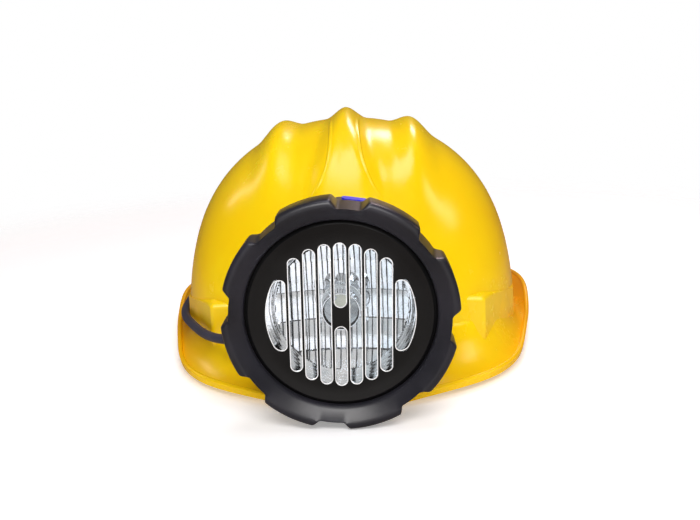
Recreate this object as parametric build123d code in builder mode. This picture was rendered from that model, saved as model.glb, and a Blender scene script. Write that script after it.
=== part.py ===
from math import acos, atan2, copysign, cos, degrees, exp, hypot, pi, radians, sin, sqrt, tan
import os

from build123d import *

os.makedirs("parts", exist_ok=True)

# Miner's helmet with a lamp, in millimetres.
# X is across the head, the face looks along -Y, Z is up from the table that the helmet stands on.

# Dome of the shell
half_width = 102.0
front_half_length = 120.0
rear_half_length = 117.0
crown_height = 131.0
shell_wall = 2.6
front_reach = 161.5
rear_reach = 141.5
dome_y = (front_reach - rear_reach) / 2

# The dome's sections fan out from a line below the table
fan_depth = 25.0
fan_core = 12.0
plan_power = 2.05
arch_power = 3.5
profile_power = 2.3
fan_start = radians(10)
fan_sections = 20
arch_steps = 34

# Three ridges over the crown
centre_ridge_height = 6.5
centre_ridge_half = 13.0
centre_panel_half = 24.0
side_ridge_height = 6.4
side_ridge_x = 41.0
side_ridge_half = 15.0

# Brim: reach, lip height and junction height at stations from the front round to the rear
brim_half_width = 115.8
lip_peak_height = 16.5
junction_height = 25.0
brim_thickness = 2.4
lip_width = 2.8
lip_height = 1.8
peak_dish = 2.6
cove_height = 3.2
cove_length = 3.5
cove_start_share = 1.3
brim_reach_shares = (
    1.200, 1.198, 1.182, 1.158, 1.098, 1.020, 0.981, 0.976,
    1.000, 1.045, 1.105, 1.148, 1.165, 1.157, 1.141, 1.132,
)
lip_height_shares = (
    0.206, 0.300, 0.420, 0.430, 0.470, 0.590, 0.667, 0.788,
    1.0, 1.0, 0.848, 0.667, 0.485, 0.315, 0.212, 0.206,
)
junction_shares = (
    1.0, 1.0, 1.0, 0.98, 0.78, 0.54, 0.38, 0.28,
    0.26, 0.28, 0.30, 0.32, 0.34, 0.36, 0.36, 0.36,
)

# Accessory boss on each side of the shell
boss_foot = (60.0, -90.0)
boss_corner = (74.5, -91.5)
boss_far_corner = (97.6, -45.0)
boss_end = (99.4, -30.0)
boss_top_front = 41.0
boss_top_rear = 32.0
boss_taper = 1.5
boss_round = 2.5
boss_top_slope = 0.35
boss_wall = 2.4

# Lamp, measured back from its front rim
lamp_z = 54.8
bezel_radius = 54.5
bezel_rim_radius = 51.5
bezel_depth = 17.5
bezel_roll = radians(6.7)
face_radius = 44.5
funnel_depth = 5.0
bezel_flange = 2.5
bezel_chamfer = 1.1
bezel_edge = 0.8
seat_lip = 1.5
notch_count = 8
notch_radius = 50.4
notch_half_width = 5.6
notch_slope = 2.6
collar_radius = 46.0
collar_wall = 2.2
face_thickness = 2.2
face_band_height = 1.4
face_band_outer = 42.4
face_band_inner = 37.0
face_roll = radians(1.4)
lens_thickness = 2.0
gasket_thickness = 1.7
housing_flange_radius = 50.0
housing_flange = 2.2
housing_back_radius = 36.5
housing_back_wall = 2.0
reflector_depth = 12.0
reflector_neck_radius = 9.9
reflector_wall = 1.2
slot_field_radius = 34.6
slot_field_drop = 0.8
slot_pitch = 6.97
slot_width = 6.25
side_slots = 3
end_slot_outer = 34.8
end_slot_half_height = 17.3
end_slot_corner = 2.6
bridge_half_height = 4.3
bridge_drop = 1.4
pad_gap = 0.12
pad_sink = 0.5

# Light source inside the lamp
emitter_radius = 3.0
emitter_base_radius = 4.2
emitter_height = 1.6
centre_lens_hole = 3.6
centre_lens_height = 6.0
centre_lens_rim = 1.6
centre_lens_shoulder_share = 0.7
centre_lens_dip_share = 0.5
chip_count = 10
chip_length = 4.0
chip_width = 6.0
chip_height = 1.2
led_board_radius = 13.0
board_thickness = 1.4
heat_sink_radius = 16.0
heat_sink_thickness = 1.2
centre_lens_radius = 9.4
driver_inner_radius = 18.0
driver_outer_radius = 32.0

# Push button and switch
button_roll = radians(9)
button_depth = 24.0
button_length = 12.0
button_width = 7.0
button_top_radius = 51.1
button_skirt_radius = 46.4
button_travel = 1.5
button_flange = 1.0
button_boss_top = 50.0
button_boss_wall = 1.6
well_low = 37.5
switch_top_radius = 38.6
switch_height = 5.0
switch_size = 6.0
switch_nub = 1.0
shelf_thickness = 1.2
stem_radius = 1.2
spring_wire = 0.5
spring_radius = 2.0
spring_turns = 4

# Tilt hinge between the bracket and the housing
hinge_back = 36.5
hinge_z = 33.0
knuckle_radius = 5.0
ear_inner = 7.0
ear_thickness = 5.0
lug_thickness = 5.5
lug_root = (24.5, 43.0)
pin_radius = 2.0
pin_head_radius = 3.4
pin_head = 1.5
pin_clip_radius = 3.4
pin_clip_thickness = 0.9
bracket_half_width = 21.0
bracket_low = 38.0
bracket_high = 80.0
bracket_thickness = 3.0
ear_root_low = 36.0
ear_root_high = 66.0
rivet_radius = 2.0
rivet_head_radius = 4.0
rivet_head = 1.4
rivet_relief = 0.7
rivet_x = 16.5
rivet_low_z = 48.0
rivet_high_z = 72.0

# Lamp cable and its glands
cable_radius = 2.5
cable_boss_radius = 5.6
cable_boss_bore = 3.5
cable_boss_start = 21.0
cable_boss_length = 13.0
cable_boss_floor = 1.5
web_width = 7.0
wire_passage_radius = 2.2
gland_flange_radius = 5.4
gland_flange = 1.8
gland_tail = 8.0
gland_tail_radius = 4.6
gland_tip_radius = 3.5
gland_plug = 4.0
gland_ribs = 4
cable_off_boss = 1.5
cable_lead = 60.0
cable_corner_z = 25.0
cable_far_z = 21.5
cable_off_wall = 4.0
cable_gutter_z = 18.6
cable_gutter_run = 35.0
cable_gutter_fall = 0.8
cable_rise_x = 7.0
cable_rise_y = 85.0
cable_rise_z = 30.0
cable_tail = 31.0
bend_share = 0.45
clip_width = 6.0
clip_wall = 1.6
clip_reach = 20.0

# Battery on the back of the shell
battery_half_width = 44.0
battery_low = 38.0
battery_high = 84.0
battery_wall = 2.0
battery_split = 126.0
battery_corner = 6.0
cell_radius = 9.2
cell_length = 65.0
cell_pole = 1.2
cell_pitch = 19.4
contact_thickness = 1.2
contact_width = 14.7
battery_board_height = 24.0
cover_gasket_thickness = 1.0
cover_screw_radius = 1.5
cover_screw_head_radius = 2.9
cover_screw_head = 1.8
cover_screw_length = 20.0
screw_post_radius = 4.0
battery_rivet_x = 20.0
battery_rivet_rise = 12.0
battery_gland_y = 118.0
battery_gland_z = 51.5

# Headband and harness
band_radius = 78.0
band_thickness = 2.0
band_front_y = -20.0
band_rear_y = 12.0
band_low = 10.0
band_high = 46.0
band_gap_half_angle = 42.0
sweat_thickness = 3.0
sweat_rear_y = 20.0
strap_thickness = 1.8
strap_height = 6.0
strap_reach_angle = 62.0
strap_tip_angle = 10.0
guide_thickness = 1.4
guide_start_angle = 43.0
guide_end_angle = 49.0
pinion_z = 25.0
pinion_pitch_radius = 5.0
pinion_teeth = 10
tooth_pitch = 2 * pi * pinion_pitch_radius / pinion_teeth
tooth_addendum = 0.8
tooth_dedendum = 1.0
tooth_tip_half = 0.32
rack_root_half = 0.95
pinion_root_half = 0.9
rack_teeth_inner = 3
rack_teeth_outer = 8
ratchet_half_angle = 18.0
ratchet_plate = 1.7
ratchet_cover_plate = 2.4
ratchet_rim = 1.7
shaft_radius = 2.5
shaft_boss_radius = 4.6
shaft_boss_length = 2.0
knob_radius = 14.0
knob_thickness = 8.0
knob_wall = 1.6
knob_round = 1.3
knob_grips = 12
knob_grip_radius = 1.6
detent_radius = 8.0
detent_thickness = 0.8
detent_fingers = 6
nape_pad_thickness = 3.0
nape_pad_half_angle = 24.0
nape_pad_low = 9.0
nape_pad_high = 41.0
ratchet_screw_radius = 1.2
ratchet_screw_head_radius = 2.2
ratchet_screw_head = 1.2
ratchet_screw_angle = 14.0

# Keys that hang the headband in the shell, and the crown straps
harness_angle = 47.0
key_half_width = 9.0
key_thickness = 2.6
key_low = 39.0
key_arm = 2.8
key_foot_high = 57.0
key_tongue_high = 55.0
lug_low = 42.2
lug_high = 58.0
lug_depth = 6.4
lug_wall = 1.8
webbing_half_width = 9.5
webbing_thickness = 1.3
webbing_end_low = 47.0
webbing_spring_z = 57.0
webbing_crown_z = 104.0
webbing_layer_gap = 1.9

# Clearances and overrun shared by every fit and every cut
seat_gap = 0.05
running_gap = 0.08
moving_gap = 0.3
overrun = 1.0
surface_probe = 0.5


def smooth_step(value, start, end):
    part = min(max((value - start) / (end - start), 0), 1)
    return part * part * (3 - 2 * part)


def ridge_rise(x, angle):
    """Height of the three ridges above the plain dome, at x on the section that stands at this angle."""
    front_fade = smooth_step(angle, radians(18), radians(60))
    rear_fade = 1 - smooth_step(angle, radians(125), radians(155))
    panel = 1 - smooth_step(angle, radians(45), radians(88))
    half = centre_ridge_half + (centre_panel_half - centre_ridge_half) * panel
    flat_share = 0.55 * panel
    centre = centre_ridge_height * (1 - panel / 2) * (1 - smooth_step(abs(x) / half, flat_share, 1))
    side_fade = smooth_step(angle, radians(48), radians(80))
    side_away = abs(abs(x) - side_ridge_x) / side_ridge_half
    side = side_ridge_height * (1 - smooth_step(side_away, 0, 1))
    return (centre * front_fade + side * side_fade) * rear_fade


def crown_reach(angle, grow):
    """Distance from the fan line to the dome's middle line, in the half-plane at this angle."""
    half_length = front_half_length if angle < pi / 2 else rear_half_length
    ahead = abs(cos(angle)) / (half_length + grow)
    above = sin(angle) / (crown_height + fan_depth + grow)
    return (ahead**profile_power + above**profile_power) ** (-1 / profile_power)


def arch_exponent(angle):
    return plan_power + (arch_power - plan_power) * sin(angle) ** 2


def arch_points(angle, grow):
    """Points of one section of the dome, from the left end of the arch to the right end."""
    reach = crown_reach(angle, grow)
    exponent = arch_exponent(angle)
    last = acos((fan_core / reach) ** (exponent / 2))
    points = []
    for step in range(-arch_steps, arch_steps + 1):
        share = step / arch_steps
        turn = last * (0.6 * share + 0.4 * share**3)
        x = (half_width + grow) * copysign(abs(sin(turn)) ** (2 / plan_power), turn)
        rise = reach * cos(turn) ** (2 / exponent)
        points.append(Vector(x, rise + ridge_rise(x, angle)))
    return points


def dome_form(grow):
    """Solid inside of the dome's surface, moved outwards by grow."""
    with BuildPart() as form:
        for step in range(fan_sections + 1):
            angle = fan_start + (pi - 2 * fan_start) * step / fan_sections
            points = arch_points(angle, grow)
            shares = [index / (len(points) - 1) for index in range(len(points))]
            fan_plane = Plane(
                origin=(0, dome_y, -fan_depth), x_dir=(1, 0, 0), z_dir=(0, -sin(angle), -cos(angle))
            )
            with BuildSketch(fan_plane):
                with BuildLine():
                    add(Edge.make_spline(points, parameters=shares))
                    Line(points[-1], points[0])
                make_face()
        loft()
    return form.part


def inside_dome(x, y, z, grow):
    """Whether a point of the part's frame lies inside the dome moved outwards by grow."""
    ahead = dome_y - y
    above = z + fan_depth
    angle = atan2(above, ahead)
    across = abs(x) / (half_width + grow)
    if across >= 1:
        return False
    rise = crown_reach(angle, grow) * (1 - across**plan_power) ** (1 / arch_exponent(angle))
    return hypot(ahead, above) < rise + ridge_rise(x, angle)


def ray_length(start, direction, grow=0.0):
    """Distance from a point inside to the dome's surface, along a direction."""
    low = 0.0
    high = front_reach * 2
    while high - low > seat_gap / 100:
        middle = (low + high) / 2
        spot = start + direction * middle
        if inside_dome(spot.X, spot.Y, spot.Z, grow):
            low = middle
        else:
            high = middle
    return low


def wall_distance(start_y, azimuth, z, grow=0.0):
    """Level distance from (0, start_y) to the dome's surface, at an azimuth from the front, in degrees."""
    level = Vector(sin(radians(azimuth)), -cos(radians(azimuth)), 0)
    return ray_length(Vector(0, start_y, z), level, grow)


def dome_spot(x, z, facing):
    """Point of the dome's surface at x and z, in front (facing -1) or behind (facing 1)."""
    start = Vector(x, dome_y, z)
    direction = Vector(0, facing, 0)
    return start + direction * ray_length(start, direction)


def dome_plane(x, z, facing):
    """Plane that touches the dome's surface, with its normal outwards."""
    across = dome_spot(x + surface_probe, z, facing) - dome_spot(x - surface_probe, z, facing)
    upwards = dome_spot(x, z + surface_probe, facing) - dome_spot(x, z - surface_probe, facing)
    outwards = upwards.cross(across) if facing > 0 else across.cross(upwards)
    return Plane(origin=dome_spot(x, z, facing), x_dir=across.normalized(), z_dir=outwards.normalized())


# Brim


def station_plane(azimuth):
    turn = radians(azimuth)
    return Plane(origin=(0, dome_y, 0), x_dir=(sin(turn), -cos(turn), 0), z_dir=(-cos(turn), -sin(turn), 0))


def brim_station(index):
    """Sizes of the brim's section at one station: azimuth, wall radius, edge radius, lip and junction heights."""
    azimuth = 180 * index / (len(brim_reach_shares) - 1)
    edge = brim_half_width * brim_reach_shares[index]
    lip = lip_peak_height * lip_height_shares[index] - lip_height / 2
    junction = junction_height * junction_shares[index]
    wall = wall_distance(dome_y, azimuth, junction)
    return azimuth, wall, edge, lip, junction


def brim_height(share, azimuth, span, lip, junction):
    """Height of the brim's top surface at a share of the way from the wall to the lip, and its slope."""
    side = smooth_step(azimuth, 40, 80) * (1 - smooth_step(azimuth, 120, 150))
    power = 1 + 1.2 * side
    dish = peak_dish * (1 - side) * min(span / cove_length / 4, 1)
    height = junction + (lip - junction) * share**power - 4 * dish * share * (1 - share)
    slope = ((lip - junction) * power * share ** (power - 1) - 4 * dish * (1 - 2 * share)) / span
    return height, slope


brim_shares = (0.0, 0.12, 0.3, 0.5, 0.75, 1.0)


def brim_section(index):
    """Closed section of the brim, from inside the wall over the cove and the dish to the lip and back below."""
    azimuth, wall, edge, lip, junction = brim_station(index)
    span = edge - lip_width - wall
    top = [Vector(wall - shell_wall / 2, junction + cove_height * cove_start_share)]
    bottom = []
    for share in brim_shares:
        height, slope = brim_height(share, azimuth, span, lip, junction)
        cove = cove_height * exp(-share * span / min(cove_length, span / 2))
        depth = brim_thickness * sqrt(1 + slope * slope)
        top.append(Vector(wall + share * span, height + cove))
        bottom.append(Vector(wall + share * span, height - depth))
    bottom.insert(0, Vector(wall - shell_wall / 2, bottom[0].Y))
    crest = Vector(edge - lip_width / 2, top[-1].Y + lip_height)
    outer = Vector(edge, top[-1].Y + lip_height / 2)
    under = Vector(edge - lip_width / 4, bottom[-1].Y)
    with BuildSketch(station_plane(azimuth)) as section:
        with BuildLine():
            Spline(*top)
            ThreePointArc(top[-1], crest, outer)
            Line(outer, under)
            Spline(under, *reversed(bottom))
            Line(bottom[0], top[0])
        make_face()
    return section.sketch


def under_section(index):
    """Section of all that lies below the middle of the brim's thickness."""
    azimuth, wall, edge, lip, junction = brim_station(index)
    span = edge - lip_width - wall
    middle = []
    for share in brim_shares:
        height, slope = brim_height(share, azimuth, span, lip, junction)
        middle.append(Vector(wall + share * span, height - brim_thickness / 2 * sqrt(1 + slope * slope)))
    inner = Vector(wall - lug_depth * 2, middle[0].Y)
    outer = Vector(edge + lip_width, middle[-1].Y)
    floor = -fan_depth
    with BuildSketch(station_plane(azimuth)) as section:
        with BuildLine():
            Line(inner, middle[0])
            Spline(*middle)
            Line(middle[-1], outer)
            Line(outer, (outer.X, floor))
            Line((outer.X, floor), (inner.X, floor))
            Line((inner.X, floor), inner)
        make_face()
    return section.sketch


with BuildPart() as brim_half:
    loft([brim_section(station) for station in range(len(brim_reach_shares))])

with BuildPart() as under_brim:
    loft([under_section(station) for station in range(len(brim_reach_shares))])
    mirror(about=Plane.YZ)

outer_dome = dome_form(0)
inner_dome = dome_form(-shell_wall)
bracket_seat = dome_form(seat_gap)


# Accessory bosses


def boss_form(inset, drop):
    """Solid of one boss, drawn in by inset and lowered by drop, before the dome and the brim trim it."""
    side = Vector(*boss_far_corner) - Vector(*boss_corner)
    along = side.normalized()
    outward = Vector(along.Y, -along.X)
    corner = Vector(*boss_corner) - outward * inset + along * inset
    far = Vector(*boss_far_corner) - outward * inset
    end = Vector(*boss_end) - Vector(inset, 0)
    root = Vector(*boss_foot) + Vector(0, inset)
    core = Vector(boss_foot[0], boss_end[1])
    shift = Vector(0, dome_y)
    with BuildPart() as form:
        with BuildSketch(Plane.XY):
            with BuildLine():
                Polyline(root + shift, corner + shift, far + shift, end + shift, core + shift, close=True)
            make_face()
        extrude(amount=boss_top_front, taper=boss_taper)
        fall = (boss_top_front - boss_top_rear) / side.length
        up = Vector(0, 0, 1) + along * fall + outward * boss_top_slope
        cap = Plane(origin=(corner.X, corner.Y + dome_y, boss_top_front - drop), z_dir=up.normalized())
        split(bisect_by=cap, keep=Keep.BOTTOM)
        if inset == 0:
            top = form.faces().sort_by(Axis.Z)[-1]
            uprights = [edge for edge in form.edges() if abs(edge.tangent_at(0).Z) > 1 / 2]
            shown = [edge for edge in uprights if edge.center().X > boss_foot[0] + overrun]
            fillet(shown + [edge for edge in top.edges() if edge.center().X > boss_foot[0] + overrun], boss_round)
    return form.part


with BuildPart() as bosses:
    add(boss_form(0, 0))
    mirror(about=Plane.YZ)
with BuildPart() as boss_hollows:
    add(boss_form(boss_wall, boss_wall))
    mirror(about=Plane.YZ)


# Harness keys stand on four rays from the head's middle, each plane with X outwards

head_y = (band_front_y + band_rear_y) / 2
key_places = [(side, facing) for facing in (-1, 1) for side in (-1, 1)]


def key_plane(side, facing):
    turn = radians(harness_angle)
    outward = Vector(side * sin(turn), facing * cos(turn), 0)
    return Plane(origin=(0, dome_y + head_y, 0), x_dir=outward, z_dir=(0, 0, 1))


def key_wall(facing):
    """Distance from the head's middle to the shell's inner face at the top of the lug."""
    azimuth = harness_angle if facing < 0 else 180 - harness_angle
    return wall_distance(dome_y + head_y, azimuth, lug_high, -shell_wall)


slot_depth = key_thickness + moving_gap * 2

with BuildPart() as key_lugs:
    for side, facing in key_places:
        slot_outer = key_wall(facing) - lug_wall
        lug_inner = slot_outer - slot_depth - lug_wall
        lug_length = lug_depth * 3
        with BuildSketch(key_plane(side, facing).offset(lug_low)):
            with Locations((lug_inner + lug_length / 2, 0)):
                Rectangle(lug_length, key_half_width * 2 + lug_wall * 4)
        extrude(amount=lug_high - lug_low)
    for side, facing in key_places:
        slot_outer = key_wall(facing) - lug_wall
        with BuildSketch(key_plane(side, facing).offset(lug_low - overrun)):
            with Locations((slot_outer - slot_depth / 2, 0)):
                Rectangle(slot_depth, (key_half_width + moving_gap) * 2)
        extrude(amount=lug_high - lug_low - lug_wall + overrun, mode=Mode.SUBTRACT)
    add(dome_form(-shell_wall / 2), mode=Mode.INTERSECT)

# Rivets stand square to the dome's surface

battery_middle_z = (battery_low + battery_high) / 2
bracket_rivet_planes = [
    dome_plane(x, z, -1) for x in (-rivet_x, rivet_x) for z in (rivet_low_z, rivet_high_z)
]
battery_rivet_planes = [
    dome_plane(x, battery_middle_z + rise, 1)
    for x in (-battery_rivet_x, battery_rivet_x)
    for rise in (-battery_rivet_rise, battery_rivet_rise)
]
rivet_planes = bracket_rivet_planes + battery_rivet_planes
rivet_hole = rivet_radius + seat_gap


def rod(plane, radius, start, end):
    """Round rod along a plane's normal, from one distance to another."""
    with BuildPart() as form:
        with BuildSketch(plane.offset(start)):
            Circle(radius)
        extrude(amount=end - start)
    return form.part


def rivet_set(planes, outer_seat):
    """Rivets through the shell wall, each with a head inside and one outside on its seat."""
    inner_seat = -shell_wall - rivet_relief
    with BuildPart() as form:
        for plane in planes:
            add(rod(plane, rivet_radius, inner_seat, outer_seat))
            add(rod(plane, rivet_head_radius, inner_seat - rivet_head, inner_seat))
            add(rod(plane, rivet_head_radius, outer_seat, outer_seat + rivet_head))
    return form.part


# Shell: dome, brim, hollow bosses and the four key lugs inside

with BuildPart() as shell:
    add(outer_dome)
    add(bosses)
    add(inner_dome, mode=Mode.SUBTRACT)
    add(boss_hollows, mode=Mode.SUBTRACT)
    add(under_brim, mode=Mode.SUBTRACT)
    add(brim_half)
    add(brim_half.part.mirror(Plane.YZ))
    with BuildSketch(Plane.XY):
        Rectangle(front_reach * 4, front_reach * 4)
    extrude(amount=-fan_depth, mode=Mode.SUBTRACT)
    add(key_lugs)
    for plane in rivet_planes:
        add(rod(plane, rivet_hole, -shell_wall - overrun, overrun), mode=Mode.SUBTRACT)

# Lamp, built round an axis along Y

lamp_front = dome_y - front_reach
lamp_axis = Axis((0, 0, lamp_z), (0, 1, 0))
face_front = funnel_depth + bezel_flange + moving_gap
face_back = face_front + face_thickness
lens_front = face_back + seat_gap
lens_back = lens_front + lens_thickness
gasket_front = lens_back + seat_gap
gasket_back = gasket_front + gasket_thickness
collar_front = gasket_back + seat_gap
flange_front = bezel_depth + moving_gap
flange_back = flange_front + housing_flange
reflector_back = collar_front + reflector_depth
led_board_front = reflector_back + seat_gap
heat_sink_front = led_board_front + board_thickness + seat_gap
inner_back = heat_sink_front + heat_sink_thickness + seat_gap
housing_back = inner_back + housing_back_wall
collar_inner = collar_radius - collar_wall
lens_radius = collar_radius - moving_gap
hinge_y = lamp_front + hinge_back
hinge_spot = (hinge_y, hinge_z)


def lamp_plane(depth):
    """Plane across the lamp's axis, seen from the front, at a depth behind the front rim."""
    return Plane(origin=(0, lamp_front + depth, lamp_z), x_dir=(1, 0, 0), z_dir=(0, -1, 0))


def turned(*profile):
    """Solid turned round the lamp's axis from (depth, radius) corners."""
    with BuildPart() as form:
        with BuildSketch(Plane.YZ):
            with BuildLine():
                Polyline(*[(lamp_front + depth, lamp_z + radius) for depth, radius in profile], close=True)
            make_face()
        revolve(axis=lamp_axis)
    return form.part


def ring(near, far, outer, inner=0.0):
    """Flat ring or disc between two depths."""
    with BuildPart() as form:
        with BuildSketch(lamp_plane(near)):
            Circle(outer)
            if inner > 0:
                Circle(inner, mode=Mode.SUBTRACT)
        extrude(amount=near - far)
    return form.part


# Bezel ring that is gripped to screw the face on
with BuildPart() as bezel_ring:
    add(
        turned(
            (0, bezel_rim_radius - seat_lip),
            (0, bezel_rim_radius),
            (bezel_chamfer, bezel_radius),
            (bezel_depth - bezel_edge, bezel_radius),
            (bezel_depth, bezel_radius - bezel_edge),
            (bezel_depth, collar_radius + running_gap),
            (funnel_depth + bezel_flange, collar_radius + running_gap),
            (funnel_depth + bezel_flange, face_radius),
            (funnel_depth, face_radius),
        )
    )
    notch_reach = bezel_radius + overrun - notch_radius
    with BuildSketch(lamp_plane(-overrun)):
        with PolarLocations(notch_radius, notch_count, start_angle=90 - degrees(bezel_roll)):
            Polygon(
                (0, -notch_half_width),
                (notch_reach, -notch_half_width - notch_slope),
                (notch_reach, notch_half_width + notch_slope),
                (0, notch_half_width),
                align=None,
            )
    extrude(amount=-bezel_depth - overrun * 2, mode=Mode.SUBTRACT)


def slot_bars(near, far, inset):
    """Bars that fill the upright slots between two depths, each drawn in by inset."""
    outer_edge = slot_pitch * (side_slots + 1 / 2) + (slot_pitch - slot_width) / 2
    front = lamp_plane(near).rotated((0, 0, -degrees(face_roll)))
    bridge_top = bridge_half_height - bridge_drop
    bridge_foot = -bridge_half_height - bridge_drop
    with BuildPart() as bars:
        with BuildSketch(front):
            for index in range(-side_slots, side_slots + 1):
                away = index * slot_pitch
                reach = sqrt(slot_field_radius**2 - away**2)
                foot, top = -reach - slot_field_drop, reach - slot_field_drop
                spans = [(foot, bridge_foot), (bridge_top, top)] if index == 0 else [(foot, top)]
                for low, high in spans:
                    with Locations((away, (low + high) / 2)):
                        SlotOverall(high - low - inset * 2, slot_width - inset * 2, rotation=90)
        extrude(amount=near - far)
        with BuildSketch(front) as ends:
            with Locations((0, -slot_field_drop)):
                Circle(end_slot_outer - inset)
                Rectangle((outer_edge + inset) * 2, end_slot_outer * 2, mode=Mode.SUBTRACT)
                Rectangle(end_slot_outer * 2, (end_slot_half_height - inset) * 2, mode=Mode.INTERSECT)
            fillet(ends.vertices(), radius=end_slot_corner - inset)
        extrude(amount=near - far)
    return bars.part


# Black face plate with its raised band and nine slots
with BuildPart() as face_plate:
    add(
        turned(
            (face_front, 0),
            (face_front, face_band_inner),
            (face_front - face_band_height, face_band_outer),
            (face_front, face_radius - moving_gap),
            (face_front, lens_radius),
            (face_back, lens_radius),
            (face_back, 0),
        )
    )
    add(slot_bars(face_front - face_band_height - overrun, face_back + overrun, 0), mode=Mode.SUBTRACT)

# Clear lens whose raised bars fill the slots
with BuildPart() as lens:
    add(ring(lens_front, lens_back, lens_radius))
    add(slot_bars(face_front + pad_sink, lens_front + seat_gap, pad_gap))

# Soft gasket between the lens and the housing
with BuildPart() as lens_gasket:
    add(ring(gasket_front, gasket_back, lens_radius, collar_inner))

# Bowl-shaped reflector
bowl_rim = collar_inner - moving_gap
bowl_rate = (bowl_rim**2 - reflector_neck_radius**2) / reflector_depth


def bowl_radius(depth_share):
    return sqrt(bowl_rim**2 - bowl_rate * reflector_depth * depth_share)


with BuildPart() as reflector:
    bowl_shares = [index / 6 for index in range(7)]
    front_points = [
        (lamp_front + collar_front + reflector_depth * share - reflector_wall, lamp_z + bowl_radius(share))
        for share in bowl_shares
    ]
    back_points = [(y + reflector_wall, z) for y, z in front_points]
    with BuildSketch(Plane.YZ):
        with BuildLine():
            Spline(*front_points)
            Line(front_points[-1], back_points[-1])
            Spline(*back_points)
            Line(back_points[0], front_points[0])
        make_face()
    revolve(axis=lamp_axis)

# Light source: board, emitter, small lens in front of it, heat spreader and driver board
with BuildPart() as led_board:
    add(ring(led_board_front, led_board_front + board_thickness, led_board_radius))

emitter_front = led_board_front - seat_gap - emitter_height
with BuildPart() as led_emitter:
    add(ring(emitter_front + emitter_height / 2, led_board_front - seat_gap, emitter_base_radius))
    add(ring(emitter_front, emitter_front + emitter_height / 2, emitter_radius))

with BuildPart() as centre_lens:
    centre_back = led_board_front - seat_gap
    add(
        turned(
            (centre_back - centre_lens_height, centre_lens_hole),
            (centre_back - centre_lens_height, centre_lens_radius - centre_lens_rim),
            (centre_back - centre_lens_height * centre_lens_shoulder_share, centre_lens_radius - seat_gap),
            (centre_back, centre_lens_radius - seat_gap),
            (centre_back, centre_lens_radius * centre_lens_shoulder_share),
            (centre_back - centre_lens_height * centre_lens_dip_share, centre_lens_hole),
        )
    )

with BuildPart() as heat_sink:
    add(ring(heat_sink_front, heat_sink_front + heat_sink_thickness, heat_sink_radius))

with BuildPart() as driver_board:
    driver_back = inner_back - seat_gap
    driver_front = driver_back - board_thickness
    add(ring(driver_front, driver_back, driver_outer_radius, driver_inner_radius))
    chip_radius = (driver_inner_radius + driver_outer_radius) / 2
    with BuildSketch(lamp_plane(driver_front)):
        with PolarLocations(chip_radius, chip_count):
            Rectangle(chip_length, chip_width)
    extrude(amount=chip_height)

# Push button frame of reference: its plane's normal points away from the lamp's axis
button_out = Vector(sin(button_roll), 0, cos(button_roll))


def button_plane(radius):
    centre = Vector(0, lamp_front + button_depth, lamp_z) + button_out * radius
    return Plane(origin=centre, x_dir=(0, 1, 0), z_dir=button_out)


def button_block(low, high, width, length):
    """Rounded block of the button's outline between two distances from the lamp's axis."""
    with BuildPart() as form:
        with BuildSketch(button_plane(low)):
            RectangleRounded(width, length, width / 3)
        extrude(amount=high - low)
    return form.part


well_width = button_width + (button_flange + moving_gap) * 2
well_length = button_length + (button_flange + moving_gap) * 2
well_top = button_boss_top - button_boss_wall
flange_top = well_top - running_gap
flange_low = flange_top - button_flange
shelf_top = switch_top_radius - switch_height - seat_gap

with BuildPart() as button:
    add(button_block(flange_low, flange_top, button_width + button_flange * 2, button_length + button_flange * 2))
    add(button_block(flange_top, button_top_radius, button_width, button_length))
    add(rod(button_plane(0), stem_radius, switch_top_radius + button_travel + moving_gap, flange_low))

with BuildPart() as switch_body:
    with BuildSketch(button_plane(switch_top_radius - switch_height)):
        Rectangle(switch_size, switch_size)
    extrude(amount=switch_height)
    add(rod(button_plane(0), stem_radius, switch_top_radius, switch_top_radius + switch_nub))

# Return spring of the button
spring_low = switch_top_radius + seat_gap + spring_wire / 2
spring_high = flange_low - seat_gap - spring_wire / 2
with BuildPart() as button_spring:
    spring_rise = spring_high - spring_low
    coil = Helix(pitch=spring_rise / spring_turns, height=spring_rise, radius=spring_radius)
    coil_start = Plane(origin=coil @ 0, z_dir=coil % 0)
    with BuildSketch(coil_start):
        Circle(spring_wire / 2)
    sweep(path=coil)
button_spring.part = button_plane(spring_low).location * button_spring.part

# Lamp housing: turned shell, hinge lugs, hollow cable boss and button well
lug_inner = ear_inner + ear_thickness + moving_gap
lug_outer = lug_inner + lug_thickness


def hinge_plate(start, thickness, radius, *root):
    """Plate across X that tapers from its root corners to a round end at the hinge."""
    with BuildPart() as form:
        with BuildSketch(Plane.YZ.offset(start)):
            with Locations(hinge_spot):
                Circle(radius)
            Polygon(*root, align=None)
            make_hull()
        extrude(amount=thickness)
    return form.part


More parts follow.
